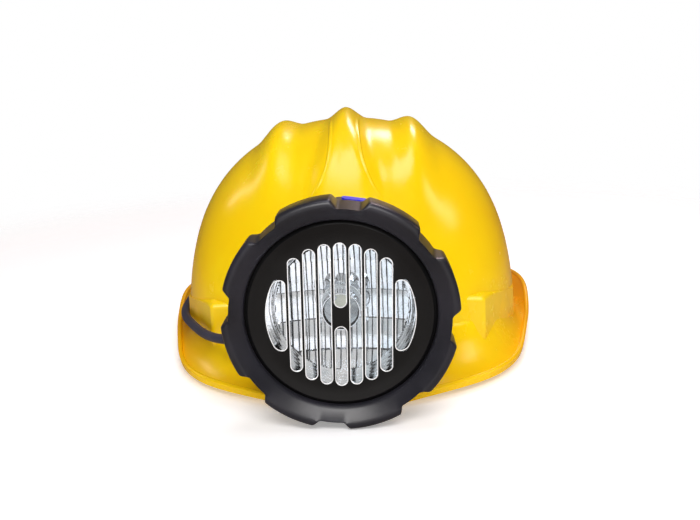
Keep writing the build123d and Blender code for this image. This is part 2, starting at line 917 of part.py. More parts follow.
housing_back_y = lamp_front + housing_back
lug_corners = (
    (housing_back_y, lug_root[0]),
    (housing_back_y, lug_root[1]),
    (housing_back_y - overrun / 2, (lug_root[0] + lug_root[1]) / 2),
)
with BuildPart() as lamp_housing:
    add(
        turned(
            (collar_front, collar_inner),
            (collar_front, collar_radius),
            (flange_front, collar_radius),
            (flange_front, housing_flange_radius),
            (flange_back, housing_flange_radius),
            (flange_back, housing_flange_radius - housing_flange),
            (housing_back, housing_back_radius),
            (housing_back, 0),
            (inner_back, 0),
            (inner_back, housing_back_radius - housing_back_wall),
            (flange_back, collar_inner),
        )
    )
    for lug_start in (-lug_outer, lug_inner):
        add(hinge_plate(lug_start, lug_thickness, knuckle_radius, *lug_corners))
    web_start = -cable_boss_start - web_width
    add(hinge_plate(web_start, web_width, cable_boss_radius, *lug_corners))
    boss_axis = Plane(origin=(0, hinge_y, hinge_z), x_dir=(0, 1, 0), z_dir=(-1, 0, 0))
    boss_end = cable_boss_start + cable_boss_length
    add(rod(boss_axis, cable_boss_radius, cable_boss_start, boss_end))
    add(rod(boss_axis, cable_boss_bore, cable_boss_start + cable_boss_floor, boss_end + overrun), mode=Mode.SUBTRACT)
    wire_plane = Plane(origin=(-cable_boss_start - web_width / 2, hinge_y, hinge_z), z_dir=(0, -1, 0))
    wire_end = hinge_back - inner_back + overrun
    add(rod(wire_plane, wire_passage_radius, 0, wire_end), mode=Mode.SUBTRACT)
    add(rod(boss_axis, pin_radius + running_gap, -lug_outer - overrun, lug_outer + overrun), mode=Mode.SUBTRACT)
    well_walls = button_boss_wall * 2
    add(button_block(well_low, button_boss_top, well_width + well_walls, well_length + well_walls))
    add(button_block(shelf_top, well_top, well_width, well_length), mode=Mode.SUBTRACT)
    add(
        button_block(well_top - overrun, button_boss_top + overrun, button_width + running_gap * 2,
                     button_length + running_gap * 2),
        mode=Mode.SUBTRACT,
    )
    with BuildSketch(button_plane(shelf_top - shelf_thickness)):
        shelf_front = switch_size / 2 + moving_gap
        with Locations(((inner_back - button_depth - shelf_front) / 2, 0)):
            Rectangle(inner_back - button_depth + shelf_front, switch_size + shelf_thickness * 2)
    extrude(amount=shelf_thickness)

# Hinge pin with its head, and the clip on its far end
with BuildPart() as hinge_pin:
    pin_end = lug_outer + pin_clip_thickness * 2 + moving_gap
    add(rod(boss_axis, pin_radius, -lug_outer - moving_gap, pin_end))
    add(rod(boss_axis, pin_head_radius, -lug_outer - moving_gap - pin_head, -lug_outer - moving_gap))

with BuildPart() as pin_clip:
    clip_start = lug_outer + moving_gap
    add(rod(boss_axis, pin_clip_radius, clip_start, clip_start + pin_clip_thickness))
    add(rod(boss_axis, pin_radius + seat_gap, clip_start - overrun, clip_start + overrun * 2), mode=Mode.SUBTRACT)
    with BuildSketch(boss_axis.offset(clip_start - overrun)):
        with Locations((0, pin_clip_radius)):
            Rectangle(pin_radius * 1.4, pin_clip_radius * 2)
    extrude(amount=overrun * 3, mode=Mode.SUBTRACT)

# Bracket that holds the lamp on the front of the dome
with BuildPart() as lamp_bracket:
    with BuildSketch(Plane.XZ.offset(-dome_y)):
        with Locations((0, (bracket_low + bracket_high) / 2)):
            RectangleRounded(bracket_half_width * 2, bracket_high - bracket_low, knuckle_radius)
    extrude(amount=front_reach)
    add(dome_form(seat_gap + bracket_thickness), mode=Mode.INTERSECT)
    ear_corners = (
        (dome_spot(0, ear_root_low, -1).Y - bracket_thickness / 2, ear_root_low),
        (dome_spot(0, ear_root_high, -1).Y - bracket_thickness / 2, ear_root_high),
        (dome_spot(0, hinge_z, -1).Y - bracket_thickness / 2, hinge_z),
    )
    for ear_start in (-ear_inner - ear_thickness, ear_inner):
        add(hinge_plate(ear_start, ear_thickness, knuckle_radius, *ear_corners))
    add(bracket_seat, mode=Mode.SUBTRACT)
    add(rod(boss_axis, pin_radius + seat_gap, -lug_outer, lug_outer), mode=Mode.SUBTRACT)
    for plane in bracket_rivet_planes:
        add(rod(plane, rivet_hole, 0, bracket_thickness * 2), mode=Mode.SUBTRACT)

with BuildPart() as bracket_rivets:
    add(rivet_set(bracket_rivet_planes, bracket_thickness + seat_gap * 2))

# Cable from the lamp round the left side of the brim to the battery


def gland(face_plane):
    """Cable gland: plug in the wall behind its plane, flange on the plane, tapering tail with ribs."""
    with BuildPart() as form:
        add(rod(face_plane, cable_boss_bore - seat_gap, -gland_plug, seat_gap))
        add(rod(face_plane, gland_flange_radius, seat_gap, gland_flange))
        with BuildSketch(face_plane.offset(gland_flange)):
            Circle(gland_tail_radius)
        with BuildSketch(face_plane.offset(gland_flange + gland_tail)):
            Circle(gland_tip_radius)
        loft()
        rib_pitch = gland_tail / (gland_ribs + 1)
        for rib in range(gland_ribs):
            rib_start = gland_flange + rib_pitch * (rib + 1 / 2)
            add(rod(face_plane, gland_tail_radius, rib_start, rib_start + rib_pitch / 2))
        add(rod(face_plane, cable_radius + moving_gap, -gland_plug - overrun, gland_flange + gland_tail + overrun),
            mode=Mode.SUBTRACT)
    return form.part


lamp_gland_plane = boss_axis.offset(boss_end)
battery_gland_spot = Vector(-battery_half_width, dome_y + battery_gland_y, battery_gland_z)
battery_gland_plane = Plane(origin=battery_gland_spot, x_dir=(0, 1, 0), z_dir=(-1, 0, 0))

with BuildPart() as lamp_gland:
    add(gland(lamp_gland_plane))
with BuildPart() as battery_gland:
    add(gland(battery_gland_plane))

cable_start = Vector(-cable_boss_start - cable_boss_floor - moving_gap, hinge_y, hinge_z)
cable_end = battery_gland_spot + Vector(battery_wall + overrun, 0, 0)
boss_side = Vector(*boss_far_corner) - Vector(*boss_corner)
boss_side_away = Vector(boss_side.Y, -boss_side.X).normalized() * (cable_radius + cable_off_boss)
boss_corner_spot = Vector(*boss_corner) + boss_side_away
boss_far_spot = Vector(*boss_far_corner) + boss_side_away
cable_route = [
    cable_start,
    Vector(-cable_lead, hinge_y, hinge_z),
    Vector(-boss_corner_spot.X, boss_corner_spot.Y + dome_y, cable_corner_z),
    Vector(-boss_far_spot.X, boss_far_spot.Y + dome_y, cable_far_z),
    Vector(-half_width - cable_off_wall, dome_y, cable_gutter_z),
    Vector(-half_width - cable_off_wall / 2, dome_y + cable_gutter_run, cable_gutter_z - cable_gutter_fall),
    Vector(-half_width + cable_rise_x, dome_y + cable_rise_y, cable_rise_z),
    Vector(cable_end.X - cable_tail, cable_end.Y, cable_end.Z),
    cable_end,
]


def half_turn(index):
    """Half of the angle that the cable turns through at one corner of its route."""
    before = cable_route[index] - cable_route[index - 1]
    after = cable_route[index + 1] - cable_route[index]
    return radians(before.get_angle(after)) / 2


def bend_radius(index):
    """Largest arc that leaves a tenth of the shorter neighbouring run straight."""
    before = (cable_route[index] - cable_route[index - 1]).length
    after = (cable_route[index + 1] - cable_route[index]).length
    return bend_share * min(before, after) / tan(half_turn(index))


bend_radii = [bend_radius(index) for index in range(1, len(cable_route) - 1)]
print("cable bend radii", [round(radius) for radius in bend_radii])

with BuildPart() as lamp_cable:
    with BuildLine() as cable_line:
        FilletPolyline(*cable_route, radius=bend_radii)
    cable_path = cable_line.wire()
    with BuildSketch(Plane(origin=cable_path @ 0, z_dir=cable_path % 0)):
        Circle(cable_radius)
    sweep(path=cable_path)
print("cable length", round(cable_path.length), "volume share",
      round(lamp_cable.part.volume / (pi * cable_radius**2 * cable_path.length), 3))

# Clips that hold the cable against the dome


def cable_clip(index, share):
    """Clip round one run of the cable, with a foot that reaches the dome's side."""
    run = cable_route[index + 1] - cable_route[index]
    inwards = Vector(0, 0, 1).cross(run).normalized() * -1
    middle = cable_route[index] + run * share
    clip_plane = Plane(origin=middle, x_dir=inwards, z_dir=run.normalized())
    outer = cable_radius + clip_wall
    with BuildPart() as form:
        with BuildSketch(clip_plane):
            Circle(outer)
            with Locations((clip_reach / 2, 0)):
                Rectangle(clip_reach, outer * 2)
            Circle(cable_radius + seat_gap, mode=Mode.SUBTRACT)
            with Locations((-outer, outer / 2)):
                Rectangle(outer * 2, cable_radius, mode=Mode.SUBTRACT)
        extrude(amount=clip_width / 2, both=True)
        add(bracket_seat, mode=Mode.SUBTRACT)
    return form.part


with BuildPart() as cable_clip_side:
    add(cable_clip(4, 1 / 2))
with BuildPart() as cable_clip_rear:
    add(cable_clip(5, 2 / 5))

# Battery case on the back of the shell, split across Y into case and cover
battery_split_y = dome_y + battery_split
battery_back_y = dome_y + rear_reach
cover_front_y = battery_split_y + seat_gap * 2 + cover_gasket_thickness
cell_y = battery_back_y - battery_wall - moving_gap - cell_radius
post_x = battery_half_width - screw_post_radius - battery_wall / 2
post_rise = (battery_high - battery_low) / 2 - screw_post_radius - battery_wall / 2
post_spots = [(x, z) for x in (-post_x, post_x) for z in (-post_rise, post_rise)]


def battery_plane(y):
    """Plane across Y at the battery's middle, seen from the front."""
    return Plane(origin=(0, y, battery_middle_z), x_dir=(1, 0, 0), z_dir=(0, -1, 0))


def battery_block(start_y, end_y, inset):
    with BuildPart() as form:
        with BuildSketch(battery_plane(end_y)):
            width = battery_half_width * 2 - inset * 2
            RectangleRounded(width, battery_high - battery_low - inset * 2, battery_corner - inset)
        extrude(amount=end_y - start_y)
    return form.part


def battery_posts(start_y, end_y, radius):
    with BuildPart() as form:
        with BuildSketch(battery_plane(end_y)):
            with Locations(*post_spots):
                Circle(radius)
        extrude(amount=end_y - start_y)
    return form.part


battery_floor = dome_form(battery_wall + seat_gap)
with BuildPart() as battery_cavity:
    add(battery_block(dome_y, battery_split_y + overrun, battery_wall))
    add(battery_floor, mode=Mode.SUBTRACT)

with BuildPart() as battery_case:
    add(battery_block(dome_y, battery_split_y, 0))
    add(battery_cavity, mode=Mode.SUBTRACT)
    add(battery_posts(dome_y + band_radius, battery_split_y, screw_post_radius))
    add(bracket_seat, mode=Mode.SUBTRACT)
    add(battery_posts(battery_split_y - cover_screw_length, battery_split_y + overrun, cover_screw_radius + seat_gap),
        mode=Mode.SUBTRACT)
    add(rod(battery_gland_plane, cable_boss_bore, -gland_plug - overrun, overrun), mode=Mode.SUBTRACT)
    for plane in battery_rivet_planes:
        add(rod(plane, rivet_hole, -overrun, battery_wall + overrun * 2), mode=Mode.SUBTRACT)

with BuildPart() as battery_cover:
    add(battery_block(cover_front_y, battery_back_y, 0))
    fillet(battery_cover.faces().sort_by(Axis.Y)[-1].edges(), battery_wall)
    add(battery_block(cover_front_y - overrun, battery_back_y - battery_wall, battery_wall), mode=Mode.SUBTRACT)
    add(battery_posts(cover_front_y, battery_back_y - battery_wall / 2, screw_post_radius))
    add(battery_posts(cover_front_y - overrun, battery_back_y + overrun, cover_screw_radius + running_gap),
        mode=Mode.SUBTRACT)
    head_seat_y = battery_back_y - cover_screw_head - running_gap
    add(battery_posts(head_seat_y, battery_back_y + overrun, cover_screw_head_radius + running_gap),
        mode=Mode.SUBTRACT)

with BuildPart() as cover_gasket:
    gasket_y = battery_split_y + seat_gap
    add(battery_block(gasket_y, gasket_y + cover_gasket_thickness, running_gap))
    add(battery_block(gasket_y - overrun, gasket_y + overrun * 2, battery_wall), mode=Mode.SUBTRACT)

with BuildPart() as cover_screws:
    screw_under_y = head_seat_y + seat_gap
    add(battery_posts(screw_under_y - cover_screw_length, screw_under_y, cover_screw_radius))
    add(battery_posts(screw_under_y, battery_back_y - running_gap, cover_screw_head_radius))
    with BuildSketch(battery_plane(battery_back_y - running_gap)):
        with Locations(*post_spots):
            RegularPolygon(cover_screw_radius, 6)
    extrude(amount=cover_screw_head / 2, mode=Mode.SUBTRACT)


def cell_form(rise):
    """Round cell along X with its small front pole."""
    start = Plane(origin=(-cell_length / 2, cell_y, battery_middle_z + rise), x_dir=(0, 1, 0), z_dir=(1, 0, 0))
    with BuildPart() as form:
        add(rod(start, cell_radius, 0, cell_length - cell_pole))
        fillet(form.edges(), cell_pole / 2)
        add(rod(start, cell_radius / 3, cell_length - cell_pole, cell_length))
    return form.part


with BuildPart() as cell_upper:
    add(cell_form(cell_pitch / 2))
with BuildPart() as cell_lower:
    add(cell_form(-cell_pitch / 2))

# Contact plates at both ends of the cells
with BuildPart() as battery_contacts:
    for side in (-1, 1):
        contact_x = side * (cell_length / 2 + seat_gap + contact_thickness / 2)
        with Locations((contact_x, cell_y, battery_middle_z)):
            Box(contact_thickness, contact_width, cell_pitch + cell_radius)

with BuildPart() as protection_board:
    board_x = cell_length / 2 + contact_thickness + seat_gap * 2 + board_thickness / 2
    with Locations((board_x, cell_y, battery_middle_z)):
        Box(board_thickness, cell_radius * 2, battery_board_height)
    with Locations((board_x + board_thickness / 2 + chip_height / 2, cell_y, battery_middle_z)):
        Box(chip_height, chip_width, chip_length)

with BuildPart() as battery_rivets:
    add(rivet_set(battery_rivet_planes, battery_wall + seat_gap * 2))

# Headband: two arcs joined by straight sides, open behind, with a sleeve at each end


def band_outline(offset):
    """Closed outline of the headband moved outwards by an offset, seen from above."""
    radius = band_radius + offset
    front = dome_y + band_front_y
    rear = dome_y + band_rear_y
    with BuildSketch(Plane.XY) as outline:
        with Locations((0, front)):
            Circle(radius)
        with Locations((0, rear)):
            Circle(radius)
        with Locations((0, (front + rear) / 2)):
            Rectangle(radius * 2, rear - front)
    return outline.sketch


def rear_plane(angle, z=0.0):
    """Plane square to the rear arc: origin on its centre line, normal outwards, X along the arc."""
    outward = Vector(sin(radians(angle)), cos(radians(angle)), 0)
    along = Vector(cos(radians(angle)), -sin(radians(angle)), 0)
    return Plane(origin=(0, dome_y + band_rear_y, z), x_dir=along * -1, z_dir=outward)


def rear_sector(inner, outer, low, high, start, end):
    """Piece of a round wall about the rear arc's centre, between two angles from straight behind."""
    with BuildPart() as form:
        with BuildSketch(Plane.XY.offset(low)):
            with Locations((0, dome_y + band_rear_y)):
                Circle(outer)
                Circle(inner, mode=Mode.SUBTRACT)
            add(fan_sketch(outer * 2, start, end), mode=Mode.INTERSECT)
        extrude(amount=high - low)
    return form.part


def fan_sketch(reach, start, end):
    """Pie slice about the rear arc's centre between two angles from straight behind."""
    steps = [start + (end - start) * index / 4 for index in range(5)]
    rim = [(reach * sin(radians(angle)), reach * cos(radians(angle)) + dome_y + band_rear_y) for angle in steps]
    with BuildSketch(Plane.XY) as fan:
        Polygon((0, dome_y + band_rear_y), *rim, align=None)
    return fan.sketch


upper_low = pinion_z + pinion_pitch_radius + tooth_dedendum
upper_high = upper_low + strap_height
lower_high = pinion_z - pinion_pitch_radius - tooth_dedendum
lower_low = lower_high - strap_height
strap_inner = band_radius + band_thickness / 2 + moving_gap
strap_outer = strap_inner + strap_thickness

with BuildPart() as headband:
    with BuildSketch(Plane.XY.offset(band_low)):
        add(band_outline(band_thickness / 2))
        add(band_outline(-band_thickness / 2), mode=Mode.SUBTRACT)
        add(fan_sketch(band_radius * 2, -band_gap_half_angle, band_gap_half_angle), mode=Mode.SUBTRACT)
    extrude(amount=band_high - band_low)
    for side in (-1, 1):
        guide_span = (side * guide_start_angle, side * guide_end_angle)
        for low, high in ((upper_low, upper_high), (lower_low, lower_high)):
            skin = moving_gap + guide_thickness
            add(rear_sector(band_radius, strap_outer + skin, low - skin, high + skin, *guide_span))
        for low, high in ((upper_low, upper_high), (lower_low, lower_high)):
            channel = (side * (guide_start_angle - overrun), side * (guide_end_angle + overrun))
            add(rear_sector(strap_inner - moving_gap, strap_outer + moving_gap, low - moving_gap, high + moving_gap,
                            *channel), mode=Mode.SUBTRACT)

# Foam sweatband inside the front of the headband
with BuildPart() as sweatband:
    sweat_outer = -band_thickness / 2 - seat_gap
    with BuildSketch(Plane.XY.offset(band_low)):
        add(band_outline(sweat_outer))
        add(band_outline(sweat_outer - sweat_thickness), mode=Mode.SUBTRACT)
        with Locations((0, dome_y + band_front_y + front_reach - sweat_rear_y)):
            Rectangle(front_reach * 2, front_reach * 2, mode=Mode.SUBTRACT)
    extrude(amount=band_high - band_low)


# Toothed nape straps: the upper one comes from the left, the lower one from the right


def strap_form(side, low, high, tooth_root_z, tooth_down):
    """Curved strap that starts on one side and ends past the pinion, with a rack of teeth on one edge."""
    tooth_turn = degrees(tooth_pitch / (strap_inner + strap_thickness / 2))
    with BuildPart() as form:
        add(rear_sector(strap_inner, strap_outer, low, high, side * strap_reach_angle, -side * strap_tip_angle))
        for index in range(-rack_teeth_inner, rack_teeth_outer):
            angle = side * (index + 1 / 2) * tooth_turn
            tip_z = -tooth_down * (tooth_dedendum + tooth_addendum)
            with BuildSketch(rear_plane(angle, tooth_root_z).offset(strap_inner + seat_gap)):
                Polygon(
                    (-rack_root_half, tooth_down * seat_gap),
                    (-tooth_tip_half, tip_z),
                    (tooth_tip_half, tip_z),
                    (rack_root_half, tooth_down * seat_gap),
                    align=None,
                )
            extrude(amount=strap_thickness - seat_gap * 2)
    return form.part


with BuildPart() as strap_left:
    add(strap_form(-1, upper_low, upper_high, upper_low, 1))
with BuildPart() as strap_right:
    add(strap_form(1, lower_low, lower_high, lower_high, -1))

# Ratchet: base plate, pinion, cover, detent spring and knob on one axis along Y
ratchet_low = lower_low - moving_gap - ratchet_rim
ratchet_high = upper_high + moving_gap + ratchet_rim
base_outer = strap_inner - moving_gap
base_inner = base_outer - ratchet_plate
cover_inner = strap_outer + moving_gap
cover_outer = cover_inner + ratchet_cover_plate
ratchet_span = (-ratchet_half_angle, ratchet_half_angle)
ratchet_axis = rear_plane(0, pinion_z)
screw_turn = ratchet_screw_angle

with BuildPart() as ratchet_base:
    add(rear_sector(base_inner, base_outer, ratchet_low, ratchet_high, *ratchet_span))
    for angle in (-screw_turn, screw_turn):
        screw_plane = rear_plane(angle, pinion_z)
        add(rod(screw_plane, ratchet_screw_radius + seat_gap, base_inner - overrun, base_outer + overrun),
            mode=Mode.SUBTRACT)

with BuildPart() as ratchet_cover:
    add(rear_sector(cover_inner, cover_outer, ratchet_low, ratchet_high, *ratchet_span))
    add(rear_sector(base_outer + seat_gap, cover_inner + seat_gap, ratchet_low, ratchet_low + ratchet_rim, *ratchet_span))
    add(rear_sector(base_outer + seat_gap, cover_inner + seat_gap, ratchet_high - ratchet_rim, ratchet_high, *ratchet_span))
    for angle in (-screw_turn, screw_turn):
        screw_plane = rear_plane(angle, pinion_z)
        add(rod(screw_plane, ratchet_screw_radius * 2, base_outer + seat_gap * 2, cover_inner + seat_gap))
        add(rod(screw_plane, ratchet_screw_radius + seat_gap, base_outer, cover_outer - ratchet_rim / 2),
            mode=Mode.SUBTRACT)
    add(rod(ratchet_axis, shaft_radius + running_gap, base_outer, cover_outer + overrun), mode=Mode.SUBTRACT)

with BuildPart() as ratchet_screws:
    for angle in (-screw_turn, screw_turn):
        screw_plane = rear_plane(angle, pinion_z)
        head_start = base_inner - seat_gap - ratchet_screw_head
        add(rod(screw_plane, ratchet_screw_head_radius, head_start, base_inner - seat_gap))
        add(rod(screw_plane, ratchet_screw_radius, base_inner - seat_gap, cover_outer - ratchet_rim))

# Knob with its shaft; the pinion sits between the two straps
knob_start = cover_outer + moving_gap
with BuildPart() as knob:
    add(rod(ratchet_axis, knob_radius, knob_start, knob_start + knob_thickness))
    fillet(knob.faces().sort_by(Axis.Y)[-1].edges(), knob_round)
    add(rod(ratchet_axis, knob_radius - knob_wall, knob_start - overrun, knob_start + knob_thickness - knob_wall),
        mode=Mode.SUBTRACT)
    add(rod(ratchet_axis, shaft_boss_radius, knob_start, knob_start + knob_thickness - knob_wall / 2))
    add(rod(ratchet_axis, shaft_radius, strap_inner, knob_start + overrun))
    with BuildSketch(ratchet_axis.offset(knob_start - overrun)):
        with PolarLocations(knob_radius + knob_grip_radius / 2, knob_grips):
            Circle(knob_grip_radius)
    extrude(amount=knob_thickness + overrun * 2, mode=Mode.SUBTRACT)

with BuildPart() as pinion:
    root_radius = pinion_pitch_radius - tooth_dedendum
    tip_radius = pinion_pitch_radius + tooth_addendum
    with BuildSketch(ratchet_axis.offset(strap_inner)):
        Circle(root_radius)
        with PolarLocations(0, pinion_teeth, start_angle=90):
            Polygon(
                (root_radius - seat_gap, -pinion_root_half),
                (tip_radius, -tooth_tip_half),
                (tip_radius, tooth_tip_half),
                (root_radius - seat_gap, pinion_root_half),
                align=None,
            )
        Circle(shaft_radius + seat_gap, mode=Mode.SUBTRACT)
    extrude(amount=strap_thickness)

# Detent spring: a slotted leaf ring between the cover and the knob
with BuildPart() as detent_spring:
    detent_low = knob_start + moving_gap
    with BuildSketch(ratchet_axis.offset(detent_low)):
        Circle(detent_radius)
        Circle(shaft_boss_radius + running_gap, mode=Mode.SUBTRACT)
        with PolarLocations(detent_radius, detent_fingers):
            Rectangle(detent_thickness * 2, detent_thickness, mode=Mode.SUBTRACT)
    extrude(amount=detent_thickness)

# Foam nape pad on the inside of the ratchet
with BuildPart() as nape_pad:
    pad_outer = base_inner - ratchet_screw_head - seat_gap * 2
    pad_span = (-nape_pad_half_angle, nape_pad_half_angle)
    add(rear_sector(pad_outer - nape_pad_thickness, pad_outer, nape_pad_low, nape_pad_high, *pad_span))

# Keys that hang the headband in the shell's lugs
band_offset_y = (band_rear_y - band_front_y) / 2 * cos(radians(harness_angle))
band_across_y = (band_rear_y - band_front_y) / 2 * sin(radians(harness_angle))
band_reach = band_offset_y + sqrt((band_radius + band_thickness / 2) ** 2 - band_across_y**2)


def key_side_plane(side, facing):
    """Upright plane along a key's ray: X outwards, Y up."""
    flat = key_plane(side, facing)
    return Plane(origin=flat.origin, x_dir=flat.x_dir, z_dir=flat.x_dir.cross(flat.z_dir))


def harness_key(side, facing):
    """Key: foot on the band, arm outwards under the lug, tongue up inside the lug's slot."""
    slot_outer = key_wall(facing) - lug_wall - moving_gap
    tongue_start = slot_outer - key_thickness
    with BuildPart() as form:
        with BuildSketch(key_side_plane(side, facing)):
            with Locations((band_reach + key_thickness / 2, (key_low + key_foot_high) / 2)):
                Rectangle(key_thickness, key_foot_high - key_low)
            with Locations(((band_reach + slot_outer) / 2, key_low + key_arm / 2)):
                Rectangle(slot_outer - band_reach, key_arm)
            with Locations(((tongue_start + slot_outer) / 2, (key_low + key_tongue_high) / 2)):
                Rectangle(key_thickness, key_tongue_high - key_low)
        extrude(amount=key_half_width, both=True)
        with BuildSketch(Plane.XY.offset(key_low - overrun)):
            add(band_outline(band_thickness / 2 + seat_gap))
        extrude(amount=band_high - key_low + overrun + seat_gap, mode=Mode.SUBTRACT)
    return form.part


with BuildPart() as key_front_left:
    add(harness_key(-1, -1))
with BuildPart() as key_front_right:
    add(harness_key(1, -1))
with BuildPart() as key_rear_left:
    add(harness_key(-1, 1))
with BuildPart() as key_rear_right:
    add(harness_key(1, 1))

# Two crown straps of webbing that cross over the head


def crown_strap(side, drop):
    """Webbing from a front key over the crown to the rear key across from it."""
    middle_reach = band_reach - seat_gap - webbing_thickness / 2
    rise = webbing_crown_z - webbing_spring_z - drop
    half = webbing_thickness / 2
    upright = webbing_spring_z - webbing_end_low
    strap_plane = key_side_plane(side, -1)
    with BuildPart() as form:
        with BuildSketch(strap_plane):
            with Locations((0, webbing_spring_z)):
                Ellipse(middle_reach + half, rise + half)
                Ellipse(middle_reach - half, rise - half, mode=Mode.SUBTRACT)
            with Locations((0, webbing_spring_z - front_reach)):
                Rectangle(front_reach * 2, front_reach * 2, mode=Mode.SUBTRACT)
            for end in (-1, 1):
                with Locations((end * middle_reach, webbing_spring_z - upright / 2)):
                    Rectangle(webbing_thickness, upright)
        extrude(amount=webbing_half_width, both=True)
    return form.part


with BuildPart() as crown_strap_upper:
    add(crown_strap(-1, 0))
with BuildPart() as crown_strap_lower:
    add(crown_strap(1, webbing_layer_gap))

pieces = {
    "shell": shell,
    "lamp_bracket": lamp_bracket,
    "bracket_rivets": bracket_rivets,
    "hinge_pin": hinge_pin,
    "pin_clip": pin_clip,
    "lamp_housing": lamp_housing,
    "bezel_ring": bezel_ring,
    "face_plate": face_plate,
    "lens": lens,
    "lens_gasket": lens_gasket,
    "reflector": reflector,
    "led_board": led_board,
    "led_emitter": led_emitter,
    "centre_lens": centre_lens,
    "heat_sink": heat_sink,
    "driver_board": driver_board,
    "button": button,
    "button_spring": button_spring,
    "switch_body": switch_body,
    "lamp_gland": lamp_gland,
    "lamp_cable": lamp_cable,
    "cable_clip_side": cable_clip_side,
    "cable_clip_rear": cable_clip_rear,
    "battery_gland": battery_gland,
    "battery_case": battery_case,
    "battery_cover": battery_cover,
    "cover_gasket": cover_gasket,
    "cover_screws": cover_screws,
    "cell_upper": cell_upper,
    "cell_lower": cell_lower,
    "battery_contacts": battery_contacts,
    "protection_board": protection_board,
    "battery_rivets": battery_rivets,
    "headband": headband,
    "sweatband": sweatband,
    "key_front_left": key_front_left,
    "key_front_right": key_front_right,
    "key_rear_left": key_rear_left,
    "key_rear_right": key_rear_right,
    "crown_strap_upper": crown_strap_upper,
    "crown_strap_lower": crown_strap_lower,
    "strap_left": strap_left,
    "strap_right": strap_right,
    "ratchet_base": ratchet_base,
    "ratchet_cover": ratchet_cover,
    "ratchet_screws": ratchet_screws,
    "pinion": pinion,
    "knob": knob,
    "detent_spring": detent_spring,
    "nape_pad": nape_pad,
}
for node, piece in pieces.items():
    piece.part.label = node
    export_step(piece.part, f"parts/{node}.step")
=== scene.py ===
from math import cos, pi, radians, sin, sqrt

import bmesh
import bpy
from mathutils import Matrix, Vector


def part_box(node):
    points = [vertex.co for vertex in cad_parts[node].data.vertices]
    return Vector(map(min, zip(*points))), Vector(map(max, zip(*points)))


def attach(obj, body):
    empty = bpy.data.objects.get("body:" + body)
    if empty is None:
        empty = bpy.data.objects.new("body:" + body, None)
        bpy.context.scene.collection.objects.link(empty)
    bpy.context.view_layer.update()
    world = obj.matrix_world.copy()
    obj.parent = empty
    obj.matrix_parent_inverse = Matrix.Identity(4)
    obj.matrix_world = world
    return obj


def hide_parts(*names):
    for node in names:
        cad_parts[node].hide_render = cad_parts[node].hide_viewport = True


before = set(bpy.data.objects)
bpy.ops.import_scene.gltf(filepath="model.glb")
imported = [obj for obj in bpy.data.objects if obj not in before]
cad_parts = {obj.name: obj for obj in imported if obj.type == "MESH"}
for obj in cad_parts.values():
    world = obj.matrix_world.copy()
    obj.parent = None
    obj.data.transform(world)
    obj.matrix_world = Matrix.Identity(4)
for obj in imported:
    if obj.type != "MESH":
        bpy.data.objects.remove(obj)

for leftover in ("Cube", "Light", "Camera"):
    if leftover in bpy.data.objects:
        bpy.data.objects.remove(bpy.data.objects[leftover])
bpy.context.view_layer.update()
mm = 0.001


# Photographer's table: a white sweep under and behind the helmet, large soft lamps to both sides and above,
# and the camera low in front, a little to the viewer's right, looking slightly down.
def srgb(red, green, blue):
    """Scene colour of a colour as a screen shows it, 0 to 255 each."""
    shares = [channel / 255 for channel in (red, green, blue)]
    return tuple(s / 12.92 if s <= 0.04045 else ((s + 0.055) / 1.055) ** 2.4 for s in shares) + (1.0,)


class Varied:
    """A value that changes over a surface: arithmetic on it becomes Math nodes of its finish."""

    def __init__(self, finish, socket):
        self.finish = finish
        self.socket = socket

    def math(self, operation, first, second=0.0):
        return self.finish.node("ShaderNodeMath", {"operation": operation}, {0: first, 1: second})

    def __add__(self, other):
        return self.math("ADD", self, other)

    __radd__ = __add__

    def __mul__(self, other):
        return self.math("MULTIPLY", self, other)

    __rmul__ = __mul__

    def __sub__(self, other):
        return self.math("SUBTRACT", self, other)

    def __rsub__(self, other):
        return self.math("SUBTRACT", other, self)

    def __pow__(self, other):
        return self.math("POWER", self, other)

    def __abs__(self):
        return self.math("ABSOLUTE", self)

    def sine(self):
        return self.math("SINE", self)

    def between(self, low, high):
        """0 below low, 1 above high, and a soft step between."""
        steps = {"interpolation_type": "SMOOTHSTEP"}
        return self.finish.node("ShaderNodeMapRange", steps, {0: self, 1: low, 2: high})


